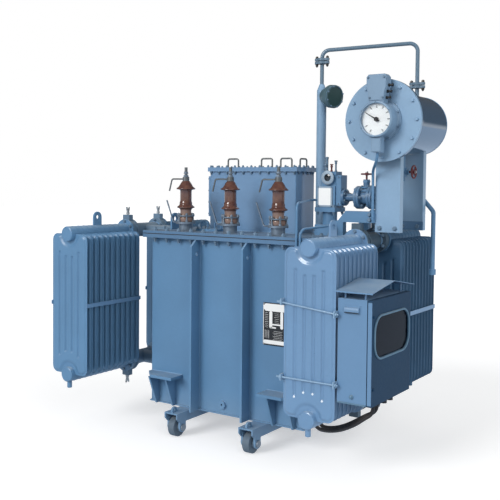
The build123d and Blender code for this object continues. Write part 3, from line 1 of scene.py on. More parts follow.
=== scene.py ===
import math

import bpy
import numpy as np
from mathutils import Matrix, Vector


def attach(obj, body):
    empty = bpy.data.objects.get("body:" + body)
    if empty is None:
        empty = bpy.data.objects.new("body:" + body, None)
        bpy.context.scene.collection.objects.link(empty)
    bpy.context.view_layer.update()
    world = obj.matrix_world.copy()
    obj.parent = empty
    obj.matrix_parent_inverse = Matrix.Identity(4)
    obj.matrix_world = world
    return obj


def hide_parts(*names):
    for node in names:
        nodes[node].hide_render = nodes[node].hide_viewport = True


# The frame carries every CAD node of the transformer. The camera stands to the right of the
# front wall at about the height of the bushing tops, as the photograph was taken.
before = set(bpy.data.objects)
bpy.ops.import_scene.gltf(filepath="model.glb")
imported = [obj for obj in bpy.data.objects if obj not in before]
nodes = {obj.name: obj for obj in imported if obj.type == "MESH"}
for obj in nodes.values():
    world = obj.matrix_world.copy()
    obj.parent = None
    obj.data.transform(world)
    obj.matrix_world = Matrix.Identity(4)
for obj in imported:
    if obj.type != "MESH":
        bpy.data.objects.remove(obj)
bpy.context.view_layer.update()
scene = bpy.context.scene
scene.view_settings.view_transform = "Standard"

camera = bpy.data.objects.new("camera", bpy.data.cameras.new("camera"))
scene.collection.objects.link(camera)
turn, dip, roll = np.radians([33.87, 2.15, 0.53]).tolist()
back = Vector((math.sin(turn) * math.cos(dip), -math.cos(turn) * math.cos(dip), math.sin(dip)))
level = Vector((math.cos(turn), math.sin(turn), 0))
upright = back.cross(level)
across = math.cos(roll) * level + math.sin(roll) * upright
upward = math.cos(roll) * upright - math.sin(roll) * level
camera_place = (2.97415, -4.5635, 1.625)
facing = Matrix((across, upward, back)).transposed().to_4x4()
camera.matrix_world = Matrix.Translation(camera_place) @ facing
camera.data.sensor_width = 36
camera.data.lens = 58.79
camera.data.shift_y = -0.0703
scene.camera = camera


# Control cables: two black sheathed cables that hang from the marshalling box's floor, cross to
# the tank's right wall and enter it through glands. They are held only at their ends.
def node(tree, kind, output, inputs, **settings):
    """A shader node with its settings made and its inputs set or linked; gives one of its outputs."""
    made = tree.nodes.new("ShaderNode" + kind)
    for name, value in settings.items():
        setattr(made, name, value)
    for entry, value in inputs.items():
        if isinstance(value, bpy.types.NodeSocket):
            tree.links.new(value, made.inputs[entry])
        else:
            made.inputs[entry].default_value = value
    return made.outputs[output]


def noise(tree, coordinates, scale, detail=3.0, rough=0.55):
    """A noise texture over the object's own metres."""
    return node(tree, "TexNoise", "Fac", {"Vector": coordinates, "Scale": scale, "Detail": detail,
                                          "Roughness": rough})


def spread(tree, value, from_low, from_high, to_low, to_high):
    """A value carried from one range to another and held at its ends."""
    return node(tree, "MapRange", "Result", {"Value": value, "From Min": from_low, "From Max": from_high,
                                             "To Min": to_low, "To Max": to_high})


def blended(tree, mask, first, second):
    """Two colours mixed by a mask; a colour may be a socket or four numbers."""
    return node(tree, "Mix", 2, {0: mask, 6: first, 7: second}, data_type="RGBA")


def surface_group():
    """Weathering of a sheet or coat: slow and fine noise change its shade, faces that look up and
    feet near the ground gather dust, and fine noise lifts the surface a little."""
    group = bpy.data.node_groups.new("weathering", "ShaderNodeTree")
    grey = (0.5, 0.5, 0.5, 1)
    for name, kind, value in (("Colour", "Color", grey), ("Dust colour", "Color", grey),
                              ("Shade change", "Float", 0.15), ("Dust", "Float", 0.5),
                              ("Gloss roughness", "Float", 0.35), ("Grain", "Float", 0.2)):
        entry = group.interface.new_socket(name, in_out="INPUT", socket_type="NodeSocket" + kind)
        entry.default_value = value
    for name, kind in (("Colour", "Color"), ("Roughness", "Float"), ("Normal", "Vector")):
        group.interface.new_socket(name, in_out="OUTPUT", socket_type="NodeSocket" + kind)
    given = group.nodes.new("NodeGroupInput").outputs
    result = group.nodes.new("NodeGroupOutput").inputs
    place = node(group, "TexCoord", "Object", {})
    slow = noise(group, place, 2.6, 5.0)
    fine = noise(group, place, 55.0, 4.0, 0.65)

    def maths(kind, first, second):
        return node(group, "Math", 0, {0: first, 1: second}, operation=kind)

    both = maths("ADD", maths("MULTIPLY", maths("SUBTRACT", slow, 0.5), 1.6),
                 maths("MULTIPLY", maths("SUBTRACT", fine, 0.5), 0.5))
    shade = maths("ADD", 1.0, maths("MULTIPLY", both, given["Shade change"]))
    tint = node(group, "HueSaturation", 0, {"Color": given["Colour"], "Value": shade})
    upright = node(group, "SeparateXYZ", "Z", {0: node(group, "NewGeometry", "Normal", {})})
    lying = spread(group, upright, 0.55, 0.95, 0.0, 1.0)
    low = spread(group, node(group, "SeparateXYZ", "Z", {0: place}), 0.32, 0.02, 0.0, 0.55)
    patches = spread(group, noise(group, place, 9.0, 6.0, 0.7), 0.32, 0.68, 0.35, 1.0)
    dust = maths("MULTIPLY", maths("MULTIPLY", maths("MAXIMUM", lying, low), patches), given["Dust"])
    group.links.new(blended(group, dust, tint, given["Dust colour"]), result["Colour"])
    rough = maths("ADD", given["Gloss roughness"], maths("MULTIPLY", maths("SUBTRACT", fine, 0.4), 0.22))
    group.links.new(maths("MINIMUM", maths("ADD", rough, maths("MULTIPLY", dust, 0.35)), 0.95), result["Roughness"])
    relief = maths("ADD", maths("MULTIPLY", noise(group, place, 420.0, 2.0), 0.35), fine)
    bump = node(group, "Bump", 0, {"Distance": 0.002, "Strength": given["Grain"], "Height": relief})
    group.links.new(bump, result["Normal"])
    return group


weathering = surface_group()


def opened(name):
    """A new material, its node tree and its shader."""
    material = bpy.data.materials.new(name)
    material.use_nodes = True
    return material, material.node_tree, material.node_tree.nodes["Principled BSDF"]


def weathered(name, colour, dust_colour=(0.42, 0.43, 0.42), shade=0.15, dust=0.5, rough=0.35, grain=0.15,
              metallic=0.0, varnish=(0.0, 0.03), specular=0.5):
    """A material whose colour, roughness and normal come from the weathering group. The second
    colour is that of its dust, and the varnish is the weight and roughness of a clear coat."""
    material, tree, shader = opened(name)
    worn = tree.nodes.new("ShaderNodeGroup")
    worn.node_tree = weathering
    for entry, value in (("Colour", (*colour, 1)), ("Dust colour", (*dust_colour, 1)),
                         ("Shade change", shade), ("Dust", dust), ("Gloss roughness", rough), ("Grain", grain)):
        worn.inputs[entry].default_value = value
    for given, taken in (("Colour", "Base Color"), ("Roughness", "Roughness"), ("Normal", "Normal")):
        tree.links.new(worn.outputs[given], shader.inputs[taken])
    for entry, value in (("Metallic", metallic), ("Coat Weight", varnish[0]), ("Coat Roughness", varnish[1]),
                         ("Specular IOR Level", specular)):
        shader.inputs[entry].default_value = value
    return material


def coat(material, *names):
    """Gives CAD nodes their finish."""
    for name in names:
        for held in nodes[name].material_slots:
            held.material = material


def hung_line(name, points, radius, material):
    """A smooth round line: a quadratic spline that starts and ends at its end points."""
    data = bpy.data.curves.new(name, "CURVE")
    data.dimensions = "3D"
    line = data.splines.new("NURBS")
    line.points.add(len(points) - 1)
    line.points.foreach_set("co", np.column_stack([points, np.ones(len(points))]).ravel())
    line.order_u = 3
    line.use_endpoint_u = True
    line.resolution_u = 16
    data.bevel_depth = radius
    data.bevel_resolution = 4
    data.use_fill_caps = True
    data.materials.append(material)
    piece = bpy.data.objects.new(name, data)
    scene.collection.objects.link(piece)
    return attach(piece, "transformer")


sheath = weathered("cable sheath", (0.022, 0.018, 0.017), (0.2, 0.17, 0.14), dust=0.45, rough=0.55, grain=0.25)
cable_routes = {
    "control_cable_outer": [(1.1084, -0.5775, 0.439), (1.1084, -0.5775, 0.3972), (1.0589, -0.5915, 0.362),
                            (1.0039, -0.5825, 0.3199), (0.9239, -0.5625, 0.2761), (0.8439, -0.5315, 0.244),
                            (0.7639, -0.4865, 0.2219), (0.6942, -0.4315, 0.206), (0.6295, -0.3665, 0.2102),
                            (0.5821, -0.3665, 0.2102)],
    "control_cable_inner": [(1.1084, -0.5315, 0.439), (1.1084, -0.5315, 0.3999), (1.0589, -0.5615, 0.3759),
                            (1.0039, -0.5535, 0.3391), (0.9239, -0.5335, 0.2911), (0.8439, -0.5015, 0.2551),
                            (0.7639, -0.4515, 0.23), (0.6942, -0.3915, 0.2119), (0.6295, -0.3065, 0.2102),
                            (0.5821, -0.3065, 0.2102)],
}
for (cable_name, route), run in zip(cable_routes.items(), (0.676, 0.692)):
    cable = hung_line(cable_name.replace("control", "sheathed"), route, 0.011, sheath)
    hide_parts(cable_name)


# Floor, surround and light: a pale floor that keeps the object's shadow, a white surround, a
# soft sun before the front wall, a wider one at the right end and a weak sky. Gloss paint
# mirrors a bluish floor under a sky that darkens upwards.
floor_mesh = bpy.data.meshes.new("floor")
floor_mesh.from_pydata([(-40, -40, 0), (40, -40, 0), (40, 40, 0), (-40, 40, 0)], [], [(0, 1, 2, 3)])
floor = bpy.data.objects.new("floor", floor_mesh)
scene.collection.objects.link(floor)
ground, tree, shader = opened("pale floor")
tree.nodes.remove(shader)
under = node(tree, "BsdfDiffuse", 0, {"Color": (0.55, 0.55, 0.55, 1)})
mirror = node(tree, "Emission", 0, {"Color": (0.62, 0.78, 1.0, 1), "Strength": 0.85})
seen = node(tree, "AddShader", 0, {0: node(tree, "BsdfDiffuse", 0, {"Color": (0.74, 0.735, 0.73, 1)}),
                                   1: node(tree, "Emission", 0, {"Strength": 0.45})})
for which, shader in (("Is Glossy Ray", mirror), ("Is Camera Ray", seen)):
    under = node(tree, "MixShader", 0, {0: node(tree, "LightPath", which, {}), 1: under, 2: shader})
tree.links.new(under, tree.nodes["Material Output"].inputs["Surface"])
floor_mesh.materials.append(ground)


def sun(name, energy, width, towards):
    """A soft sun, its disc as wide as the given degrees, that stands in the given direction."""
    lamp = bpy.data.lights.new(name, "SUN")
    lamp.energy = energy
    lamp.angle = math.radians(width)
    held = bpy.data.objects.new(name, lamp)
    held.matrix_world = Vector(towards).to_track_quat("Z", "Y").to_matrix().to_4x4()
    scene.collection.objects.link(held)
    return held


sun("key", 1.98, 26, (-0.22, -0.87, 0.44))
sun("fill", 1.5, 70, (0.93, -0.22, 0.28)).visible_glossy = False

world = bpy.data.worlds.new("surround")
scene.world = world
world.use_nodes = True
tree = world.node_tree
sky = tree.nodes["Background"]
shown = node(tree, "Math", 0, {0: node(tree, "LightPath", "Is Camera Ray", {}),
                               1: node(tree, "LightPath", "Is Transmission Ray", {})}, operation="MAXIMUM")
bearing = node(tree, "SeparateXYZ", "Z", {0: node(tree, "TexCoord", "Generated", {})})
horizon = spread(tree, bearing, 0.0, 0.07, 0.7, -0.85)
mirrored = node(tree, "Math", 0, {0: node(tree, "LightPath", "Is Glossy Ray", {}), 1: horizon, 2: shown},
                operation="MULTIPLY_ADD")
tree.links.new(spread(tree, mirrored, -1.0, 1.0, 0.0, 1.0), sky.inputs["Strength"])
tint = blended(tree, shown, (0.95, 0.975, 1.0, 1), (1, 1, 1, 1))
tree.links.new(tint, sky.inputs["Color"])


# Tank: a welded steel box under blue enamel, with a flat rim and cover drawn together by bolts
# over a cork gasket. Wall stiffeners, jacking pads and bosses are welded on.
enamel = weathered("blue enamel", (0.099, 0.224, 0.386), (0.40, 0.49, 0.56), shade=0.22, dust=0.62, rough=0.36,
                   grain=0.06, varnish=(0.25, 0.22))
weld_coat = weathered("enamel over welds", (0.125, 0.262, 0.44), (0.40, 0.49, 0.56), shade=0.3, dust=0.5,
                      rough=0.4, grain=0.9)
zinc = weathered("galvanised steel", (0.52, 0.53, 0.53), (0.45, 0.43, 0.4), shade=0.35, dust=0.3, rough=0.42,
                 grain=0.1, metallic=0.75)
cork = weathered("cover gasket cork", (0.035, 0.03, 0.026), (0.2, 0.2, 0.19), dust=0.3, rough=0.85, grain=0.5)
rim_enamel = weathered("rim enamel", (0.080, 0.172, 0.300), (0.34, 0.40, 0.45), shade=0.3, dust=0.55, rough=0.38,
                       grain=0.1, varnish=(0.2, 0.25))
painted = weathered("painted fasteners", (0.13, 0.21, 0.30), (0.42, 0.46, 0.48), shade=0.35, dust=0.5, rough=0.42,
                    grain=0.2, metallic=0.15)
coat(enamel, "tank_body", "wall_stiffeners", "jacking_pads")
coat(rim_enamel, "tank_rim", "tank_cover")
coat(cork, "cover_gasket")


up, down, front, rear = (0, 0, 1), (0, 0, -1), (0, -1, 0), (0, 1, 0)
left, right = (-1, 0, 0), (1, 0, 0)


def basis(facing):
    """Three unit vectors at right angles, the last the given way; on a wall the second is up."""
    w = np.array(facing, float)
    w /= np.linalg.norm(w)
    helper = np.array([0, 0, 1.0]) if abs(w[2]) < 0.9 else np.array([0, 1.0, 0])
    u = np.cross(helper, w)
    u /= np.linalg.norm(u)
    return np.stack([u, np.cross(w, u), w])


def skin(rings, loop=False, ends=True):
    """Quads between neighbouring rings of points, and a fan to the middle at each end."""
    count, size = rings.shape[:2]
    points = rings.reshape(-1, 3)
    i, j = np.meshgrid(np.arange(count if loop else count - 1), np.arange(size), indexing="ij")
    near, far = i * size, (i + 1) % count * size
    after = (j + 1) % size
    faces = [np.stack([near + j, near + after, far + after, far + j], -1).reshape(-1, 4)]
    if ends and not loop:
        around = np.arange(size)
        after = (around + 1) % size
        last = (count - 1) * size
        middle = np.full(size, len(points))
        faces.append(np.stack([middle, after, around], -1))
        faces.append(np.stack([middle + 1, last + around, last + after], -1))
        points = np.vstack([points, rings[0].mean(0), rings[-1].mean(0)])
    return points, faces


def lathe(profile, origin=(0, 0, 0), facing=up, steps=40, loop=False):
    """A profile of (radius, distance) pairs carried round an axis; a looped one closes on itself."""
    profile = np.array(profile, float)
    angle = np.arange(steps) * 2 * np.pi / steps
    radius, along = profile[:, :1], profile[:, 1:]
    rings = np.stack([radius * np.cos(angle), radius * np.sin(angle), along + 0 * angle], -1)
    return skin(rings @ basis(facing) + np.array(origin, float), loop=loop)


def tile(part, places):
    """The same part at each of the places."""
    points, faces = part
    places = np.array(places, float).reshape(-1, 3)
    shift = np.arange(len(places))[:, None, None] * len(points)
    return (places[:, None] + points).reshape(-1, 3), [(f + shift).reshape(-1, f.shape[1]) for f in faces]


def tube(points, section, normal, closed=False):
    """A section of (side, up) offsets carried along a flat path, mitred at its corners: each point
    is the path point plus side times the mitre plus up times the path's normal."""
    points, section = np.array(points, float), np.array(section, float)
    ahead = np.roll(points, -1, 0) - points
    if not closed:
        ahead[-1] = ahead[-2]
    ahead /= np.linalg.norm(ahead, axis=1, keepdims=True)
    behind = np.roll(ahead, 1, 0)
    if not closed:
        behind[0] = ahead[0]
    normal = np.array(normal, float)
    one, two = np.cross(behind, normal), np.cross(ahead, normal)
    mitre = (one + two) / (1 + (one * two).sum(1, keepdims=True))
    rings = points[:, None] + section[:, :1] * mitre[:, None] + section[:, 1:] * normal
    return skin(rings[:, ::-1], loop=closed)


def round_section(radius, sides=8):
    """Offsets round a circle."""
    angle = np.arange(sides) * 2 * np.pi / sides
    return radius * np.stack([np.cos(angle), np.sin(angle)], -1)


middle_of_outline = np.array([25.85, 31.5, 0.0])


def piece(name, parts, material, slot="blue_paint", body="transformer", crease=38):
    """One mesh from a list of parts in millimetres from the tank's middle, brought to the frame."""
    points, corners, starts, first, total = [], [], [], 0, 0
    for verts, faces in parts:
        points.append(verts)
        for group in faces:
            corners.append((group + first).ravel())
            starts.append(total + np.arange(len(group)) * group.shape[1])
            total += group.size
        first += len(verts)
    points = (np.concatenate(points) - middle_of_outline) / 1000
    mesh = bpy.data.meshes.new(name)
    mesh.vertices.add(len(points))
    mesh.vertices.foreach_set("co", points.astype(np.float32).ravel())
    mesh.loops.add(total)
    mesh.loops.foreach_set("vertex_index", np.concatenate(corners).astype(np.int32))
    starts = np.concatenate(starts).astype(np.int32)
    mesh.polygons.add(len(starts))
    mesh.polygons.foreach_set("loop_start", starts)
    mesh.update(calc_edges=True)
    mesh.validate()
    mesh.shade_smooth()
    mesh.set_sharp_from_angle(angle=math.radians(crease))
    mesh.materials.append(material)
    made = bpy.data.objects.new(name, mesh)
    scene.collection.objects.link(made)
    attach(made, body)
    return made


def hexagon(width, height, facing=up, stub=0.0, washer=True):
    """A bolt head or nut: a round washer, a hexagon with its top corners turned off, a thread end."""
    corner = width / math.sqrt(3)
    base = 0.12 * width if washer else 0.0
    top = base + height
    parts = [lathe([(corner, base), (corner, top - 0.12 * width), (0.86 * corner, top)], facing=facing, steps=6)]
    if washer:
        parts.append(lathe([(0.64 * width, 0), (0.64 * width, base)], facing=facing, steps=14))
    if stub:
        parts.append(lathe([(0.32 * width, top), (0.32 * width, top + stub - 1), (0.25 * width, top + stub)],
                           facing=facing, steps=8))
    return parts


def bolted(places, width, height, facing=up, stub=0.0, washer=True):
    """The same hexagon at each of the places."""
    return [tile(part, places) for part in hexagon(width, height, facing, stub, washer)]


def along(first, last, count):
    """Evenly spaced places between two."""
    return np.linspace(np.array(first, float), np.array(last, float), count)


rim_line = np.concatenate([along((-550, y, 0), (550, y, 0), 12) for y in (-374, 374)]
                          + [along((x, -300, 0), (x, 300, 0), 7) for x in (-614, 614)])
piece("rim_bolts", bolted(rim_line + (0, 0, 1312), 24, 12, stub=7)
      + bolted(rim_line + (0, 0, 1266), 24, 13, down, stub=15), painted)


def bead(points, normal, radius=4, closed=False):
    """A weld along a path: a round section half sunk in the seam."""
    return tube(points, round_section(radius), normal, closed)


def fillet(radius, leg, origin, facing=up, steps=40):
    """A weld round a pipe: a triangle of equal legs turned about the pipe's axis."""
    return lathe([(radius, 0), (radius + leg, 0), (radius, leg)], origin, facing, steps, loop=True)


tank_half_x, tank_half_y, tank_floor, rim_under = 590, 350, 160, 1266
corners = [(-tank_half_x, -tank_half_y), (tank_half_x, -tank_half_y), (tank_half_x, tank_half_y),
           (-tank_half_x, tank_half_y)]
welds = [bead([(x, y, rim_under) for x, y in corners], up, 5, closed=True)]
for x in (-204, -190, 190, 204):
    for y in (-tank_half_y, tank_half_y):
        welds.append(bead([(x, y, 172), (x, y, 1262)], right))
for x, y in corners:
    welds.append(bead([(x * 0.9988, y * 0.998, 170), (x * 0.9988, y * 0.998, 1262)], right, 3.5))
    for level_z in (350, 368):
        welds.append(bead([(x, y, level_z), (x - math.copysign(260, x), y, level_z)], up))
for y in (-tank_half_y, tank_half_y):
    welds.append(fillet(25, 5, (0, y, 224), (0, math.copysign(1, y), 0), 32))
piece("tank_welds", welds, weld_coat)

lip = [(0, 0), (9, 0), (10, 1.5), (10, 7), (8, 9), (0, 9)]
piece("tank_bottom_edge", [tube([(x, y, tank_floor) for x, y in corners], lip, up, closed=True)], enamel)


# Base: two folded channels with eye lugs, on four cast rollers turning on greased axles that
# are held by their heads.
cast = weathered("cast roller iron", (0.08, 0.14, 0.21), (0.26, 0.25, 0.22), shade=0.45, dust=0.7, rough=0.55,
                 grain=0.5, metallic=0.2)
axle_steel = weathered("axle steel", (0.30, 0.34, 0.38), (0.25, 0.24, 0.22), shade=0.4, dust=0.5, rough=0.4,
                       grain=0.2, metallic=0.6)
coat(enamel, "base_beam_left", "base_beam_right")
coat(cast, "roller_front_left", "roller_front_right", "roller_rear_left", "roller_rear_right")
coat(axle_steel, "roller_axles")

joints = []
for x in (-340, -236, 236, 340):
    joints.append(bead([(x, -345, tank_floor), (x, 345, tank_floor)], up))
for x in (-288, 288):
    for y in (-486, 486):
        for side in (-7, 7):
            joints.append(bead([(x + side, y - 26, tank_floor), (x + side, y + 26, tank_floor)], up, 3))
piece("base_welds", joints, weld_coat)


# Radiators: eleven pressed panels welded on two headers. A panel is two thin sheets seamed at
# the rim, swollen between, with four narrow pressed grooves and a dip round each header.
def panel(columns, beside_groove, rows):
    """Both sheets as height fields over a rounded rectangle, and the rim between them. Grid lines lie
    at the columns and beside each groove, and a column's height follows the rounded corner. Half the
    thickness rises with a smooth step from the rim, falls along each groove by a flat-topped bell that
    dies out at the groove's ends, and falls near the headers by a smooth step of the distance from
    their centres."""
    half_width, half_height, corner = 160.0, 468.5, 45.0
    seam, crown = 1.9, 10.0
    grooves = ((29, 150), (87, 120))
    for centre, _ in grooves:
        columns = [*columns, centre, *(centre + s * offset for s in (-1, 1) for offset in beside_groove)]
    columns = sorted(columns)

    def step(t):
        t = np.clip(t, 0, 1)
        return t * t * (3 - 2 * t)

    x = np.concatenate([-np.array(columns[:0:-1]), columns])
    past = np.clip(np.abs(x) - (half_width - corner), 0, corner)
    reach = half_height - corner + np.sqrt(corner ** 2 - past ** 2)
    drop = np.array(rows, float)
    t = np.concatenate([-(1 - drop / half_height), (1 - drop / half_height)[::-1]])
    z = t[:, None] * reach
    x = x + 0 * z
    outside = np.maximum(np.stack([np.abs(x) - half_width + corner, np.abs(z) - half_height + corner]), 0)
    inner = np.minimum(half_width - np.abs(x), half_height - np.abs(z))
    edge = np.where(outside.min(0) > 0, corner - np.hypot(*outside), inner)
    half = seam + (crown - seam) * step((edge - 8) / 15)
    for centre, gap in grooves:
        length = half_height - gap - np.abs(z)
        off = np.abs(x) - centre
        half -= 7.4 * np.exp(-(off / 9.5) ** 4) * step((length + 7) / 13)
        half -= 1.6 * np.exp(-(off ** 2 + (length - 4) ** 2) / 60)
    header = np.hypot(x, half_height - np.abs(z))
    half = seam + (half - seam) * step((header - 74) / 22)
    half = np.clip(half, seam, crown)
    count, width = z.shape
    sheet = np.stack([x, -half, z], -1).reshape(-1, 3)
    other = sheet * (1, -1, 1)
    i, j = np.meshgrid(np.arange(count - 1), np.arange(width - 1), indexing="ij")
    a = (i * width + j).ravel()
    quads = np.stack([a, a + 1, a + width + 1, a + width], -1)
    grid = np.arange(count * width).reshape(count, width)
    edge_loop = np.concatenate([grid[0, :-1], grid[:-1, -1], grid[-1, :0:-1], grid[:0:-1, 0]])
    after = np.roll(edge_loop, -1)
    rim = np.stack([after, edge_loop, edge_loop + count * width, after + count * width], -1)
    return np.vstack([sheet, other]), [quads, quads[:, ::-1] + count * width, rim]


radiator_enamel = weathered("radiator enamel", (0.137, 0.262, 0.438), (0.46, 0.55, 0.62), shade=0.2, dust=0.55,
                            rough=0.3, grain=0.05, varnish=(0.8, 0.12))
# A darker copy of the blue enamel for the two rear radiators: painted shade.
painted_shade_enamel = weathered("rear radiator enamel with painted shade", (0.054, 0.132, 0.235), (0.16, 0.2, 0.22), shade=0.35, dust=0.5,
                          rough=0.42, grain=0.1)
fine_panel = panel([0, 7, 51, 58, 65, 109, 118, 126, 134, 139, 143, 147, 150, 153, 156, 160],
                   [4, 6.5, 8.5, 10.5, 12.5, 15], [0, 3, 6, 9, 13, 17, 21, 26, 33, 41, 50, 58, 66, 72, 78, 84, 92,
                                                   102, 110, 114, 118, 122, 126, 131, 138, 143, 147, 151, 155, 160,
                                                   170, 230, 300, 380, 450])
plain_panel = panel([0, 58, 128, 139, 147, 153, 160], [5, 12],
                    [0, 5, 12, 20, 32, 46, 60, 74, 84, 100, 115, 125, 140, 152, 168, 260, 400])


low_header, high_header, panel_pitch = 348.0, 1285.0, 50.8


def radiator(name, x, inner, side):
    """Panels at their pitch, the outermost one fine, on two headers with flanges, caps, a drain
    plug and a lifting lug."""
    face = inner + side * 10
    centres = [(x, face + side * panel_pitch * k, (low_header + high_header) / 2) for k in range(11)]
    parts = [tile(plain_panel, centres[:-1]), tile(fine_panel, centres[-1:])]
    start = inner - side * 26
    length = abs(inner + side * 550 - start)
    cap = [(50, 0), (50, length - 7), (48.5, length - 3), (45, length - 0.6), (42, length), (41, length - 1),
           (38, length - 1)]
    flange = [(50, 0), (79, 0), (80, 1), (80, 13), (79, 14), (50, 14)]
    for z in (low_header, high_header):
        parts.append(lathe(cap, (x, start, z), (0, side, 0), steps=56))
        parts.append(lathe(flange, (x, start, z), (0, side, 0), steps=56))
        parts.append(fillet(50, 6, (x, start + side * 14, z), (0, side, 0)))
        collars = [(x, face + side * panel_pitch * (k + 0.5), z) for k in range(10)]
        parts.append(tile(lathe([(50, -1.5), (51.6, 0), (50, 1.5)], facing=(0, side, 0)), collars))
    plug_y = inner + side * 520
    parts.append(lathe([(13, -10), (13, 50), (16, 52), (16, 90), (14, 92)], (x, plug_y, low_header), down,
                       steps=24))
    angle = np.linspace(0, np.pi, 17)
    head = np.stack([38 * np.cos(angle), 1389 + 38 * np.sin(angle)], -1)
    outline = np.vstack([[(38, 1320)], head, [(-38, 1320)]])
    eye = np.stack([15 * np.cos(2 * angle + np.pi / 2), 1389 + 15 * np.sin(2 * angle + np.pi / 2)], -1)[:-1]
    parts += eye_plate(outline, eye, 12, (x, inner + side * 264, 0))
    paint = radiator_enamel if x > 0 else enamel
    # Radiators on the rear side take the darker enamel of painted shade.
    return piece(name, parts, paint if side < 0 else painted_shade_enamel, crease=32)


def eye_plate(outline, hole, thick, origin):
    """A plate across X with a hole: outline and hole in (Y, Z), each carried through the plate,
    and each face a fan of quads between the two closed lines, point to nearest point."""
    outline, hole = np.array(outline, float), np.array(hole, float)
    centre = hole.mean(0)
    rays = np.arctan2(*(outline - centre).T[::-1])
    size = math.hypot(*(hole[0] - centre))
    inner = centre + size * np.stack([np.cos(rays), np.sin(rays)], -1)
    bevel = 1.2
    drawn = outline + (centre - outline) * (bevel / np.linalg.norm(outline - centre, axis=1, keepdims=True))
    levels = [(inner, -thick / 2), (drawn, -thick / 2), (outline, bevel - thick / 2), (outline, thick / 2 - bevel),
              (drawn, thick / 2), (inner, thick / 2)]
    rings = np.stack([np.column_stack([np.full(len(line), depth), line]) for line, depth in levels])
    return [skin(rings + np.array(origin, float), loop=True)]


radiator_x, left_radiator_x = 822, -1011
for place, x, inner, side in (("front_right", radiator_x, -182, -1), ("rear_right", radiator_x, 182, 1),
                              ("front_left", left_radiator_x, -182, -1), ("rear_left", left_radiator_x, 245, 1)):
    made = radiator(f"pressed_radiator_{place}", x, inner, side)
    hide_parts(f"radiator_{place}")
coat(radiator_enamel, "radiator_bands")
# Raised dots at the lower groove ends of the front right radiator, painted near white: painted glints.
dimples = [(radiator_x + a, -709, low_header + b) for a, b in ((-87, 115), (-29, 145), (29, 145), (87, 115))]
glint_paint = weathered("spot weld painted glint", (0.74, 0.83, 0.90), shade=0.1, dust=0.2, rough=0.35, grain=0.1)
piece("spot_welds_painted_glint", [tile(lathe([(7, -1.5), (6.4, 0.6), (4.5, 2), (2, 2.8)], facing=front, steps=20),
                                dimples)], glint_paint)


# Branch pipes and wafer valves: steel pipes from the tank wall to each pair of radiators, and
# cast valves clamped between flanges by studs. Three valves keep their forked handles.
def ring_of(count, radius, centre, facing=up, start=0.0):
    """Places spaced evenly round a circle."""
    angle = math.radians(start) + np.arange(count) * 2 * np.pi / count
    flat = np.stack([radius * np.cos(angle), radius * np.sin(angle), 0 * angle], -1)
    return flat @ basis(facing) + np.array(centre, float)


def bolt_circle(count, radius, centre, facing, width, height, start=0.0, stub=0.0):
    """Bolts spaced evenly round a circle."""
    places = ring_of(count, radius, centre, facing, start)
    return bolted(places, width, height, facing, stub)


# The right-hand branch pipes and valves are painted darker than the same pipes on the left, which take the fastener
# enamel.
dark_right_pipe_enamel = weathered("dark right-hand pipe enamel", (0.060, 0.100, 0.140), (0.13, 0.14, 0.14), shade=0.5, dust=0.6,
                         rough=0.4, grain=0.5)
coat(dark_right_pipe_enamel, "radiator_pipes_right")
coat(painted, "radiator_pipes_left")
handle_zinc = weathered("galvanised handle", (0.45, 0.47, 0.48), shade=0.4, dust=0.3, rough=0.45, grain=0.3,
                        metallic=0.6)
coat(handle_zinc, "valve_handle_top_front", "valve_handle_top_rear", "valve_handle_bottom_front")
studs, seams = [], []
for x, middle, half_gap, wall in ((radiator_x, 0, 182, tank_half_x), (left_radiator_x, 31.5, 213.5, -tank_half_x)):
    for z in (low_header, high_header):
        for side in (-1, 1):
            face = middle + side * (half_gap - 12)
            inner = middle + side * (half_gap - 26 - 40 - 14)
            studs += bolt_circle(6, 66, (x, face, z), (0, side, 0), 18, 9, 30)
            studs += bolt_circle(6, 66, (x, inner, z), (0, -side, 0), 18, 10, 30, 8)
            seams.append(fillet(50, 5, (x, inner, z), (0, -side, 0)))
    outward = 1 if wall > 0 else -1
    near = wall + outward * 14
    studs += bolt_circle(8, 66, (near, middle, low_header), (outward, 0, 0), 18, 10, 22.5, 6)
    seams.append(fillet(47, 5, (near, middle, low_header), (outward, 0, 0)))
    seams.append(fillet(38, 6, (wall, middle, 1175), (outward, 0, 0)))
piece("branch_flange_studs", studs, painted)
piece("branch_welds", seams, weld_coat)


# High voltage bushings: one piece of brown glazed porcelain each, turned on a wheel, held down
# by a clamp ring and studs over a steel collar, with a brass-cored steel terminal and horns.
def glaze():
    """Brown glaze, lighter and thinner near the foot: partly the bare body, partly a painted highlight."""
    material, tree, shader = opened("brown glazed porcelain")
    place = node(tree, "TexCoord", "Object", {})
    # Lighter below the lower shed: partly the bare body, partly a painted highlight.
    foot = spread(tree, node(tree, "SeparateXYZ", "Z", {0: place}), 1.449, 1.457, 1.0, 0.0)
    thick = spread(tree, noise(tree, place, 34.0, 4.0), 0.3, 0.7, 0.0, 1.0)
    brown = blended(tree, thick, (0.085, 0.036, 0.032, 1), (0.150, 0.072, 0.050, 1))
    tree.links.new(blended(tree, foot, brown, (0.22, 0.14, 0.11, 1)), shader.inputs["Base Color"])
    tree.links.new(spread(tree, foot, 0.0, 1.0, 0.16, 0.34), shader.inputs["Roughness"])
    ripple = noise(tree, place, 120.0, 2.0)
    tree.links.new(node(tree, "Bump", 0, {"Strength": 0.08, "Distance": 0.002, "Height": ripple}),
                   shader.inputs["Normal"])
    shader.inputs["Coat Weight"].default_value = 0.6
    shader.inputs["Coat Roughness"].default_value = 0.08
    return material


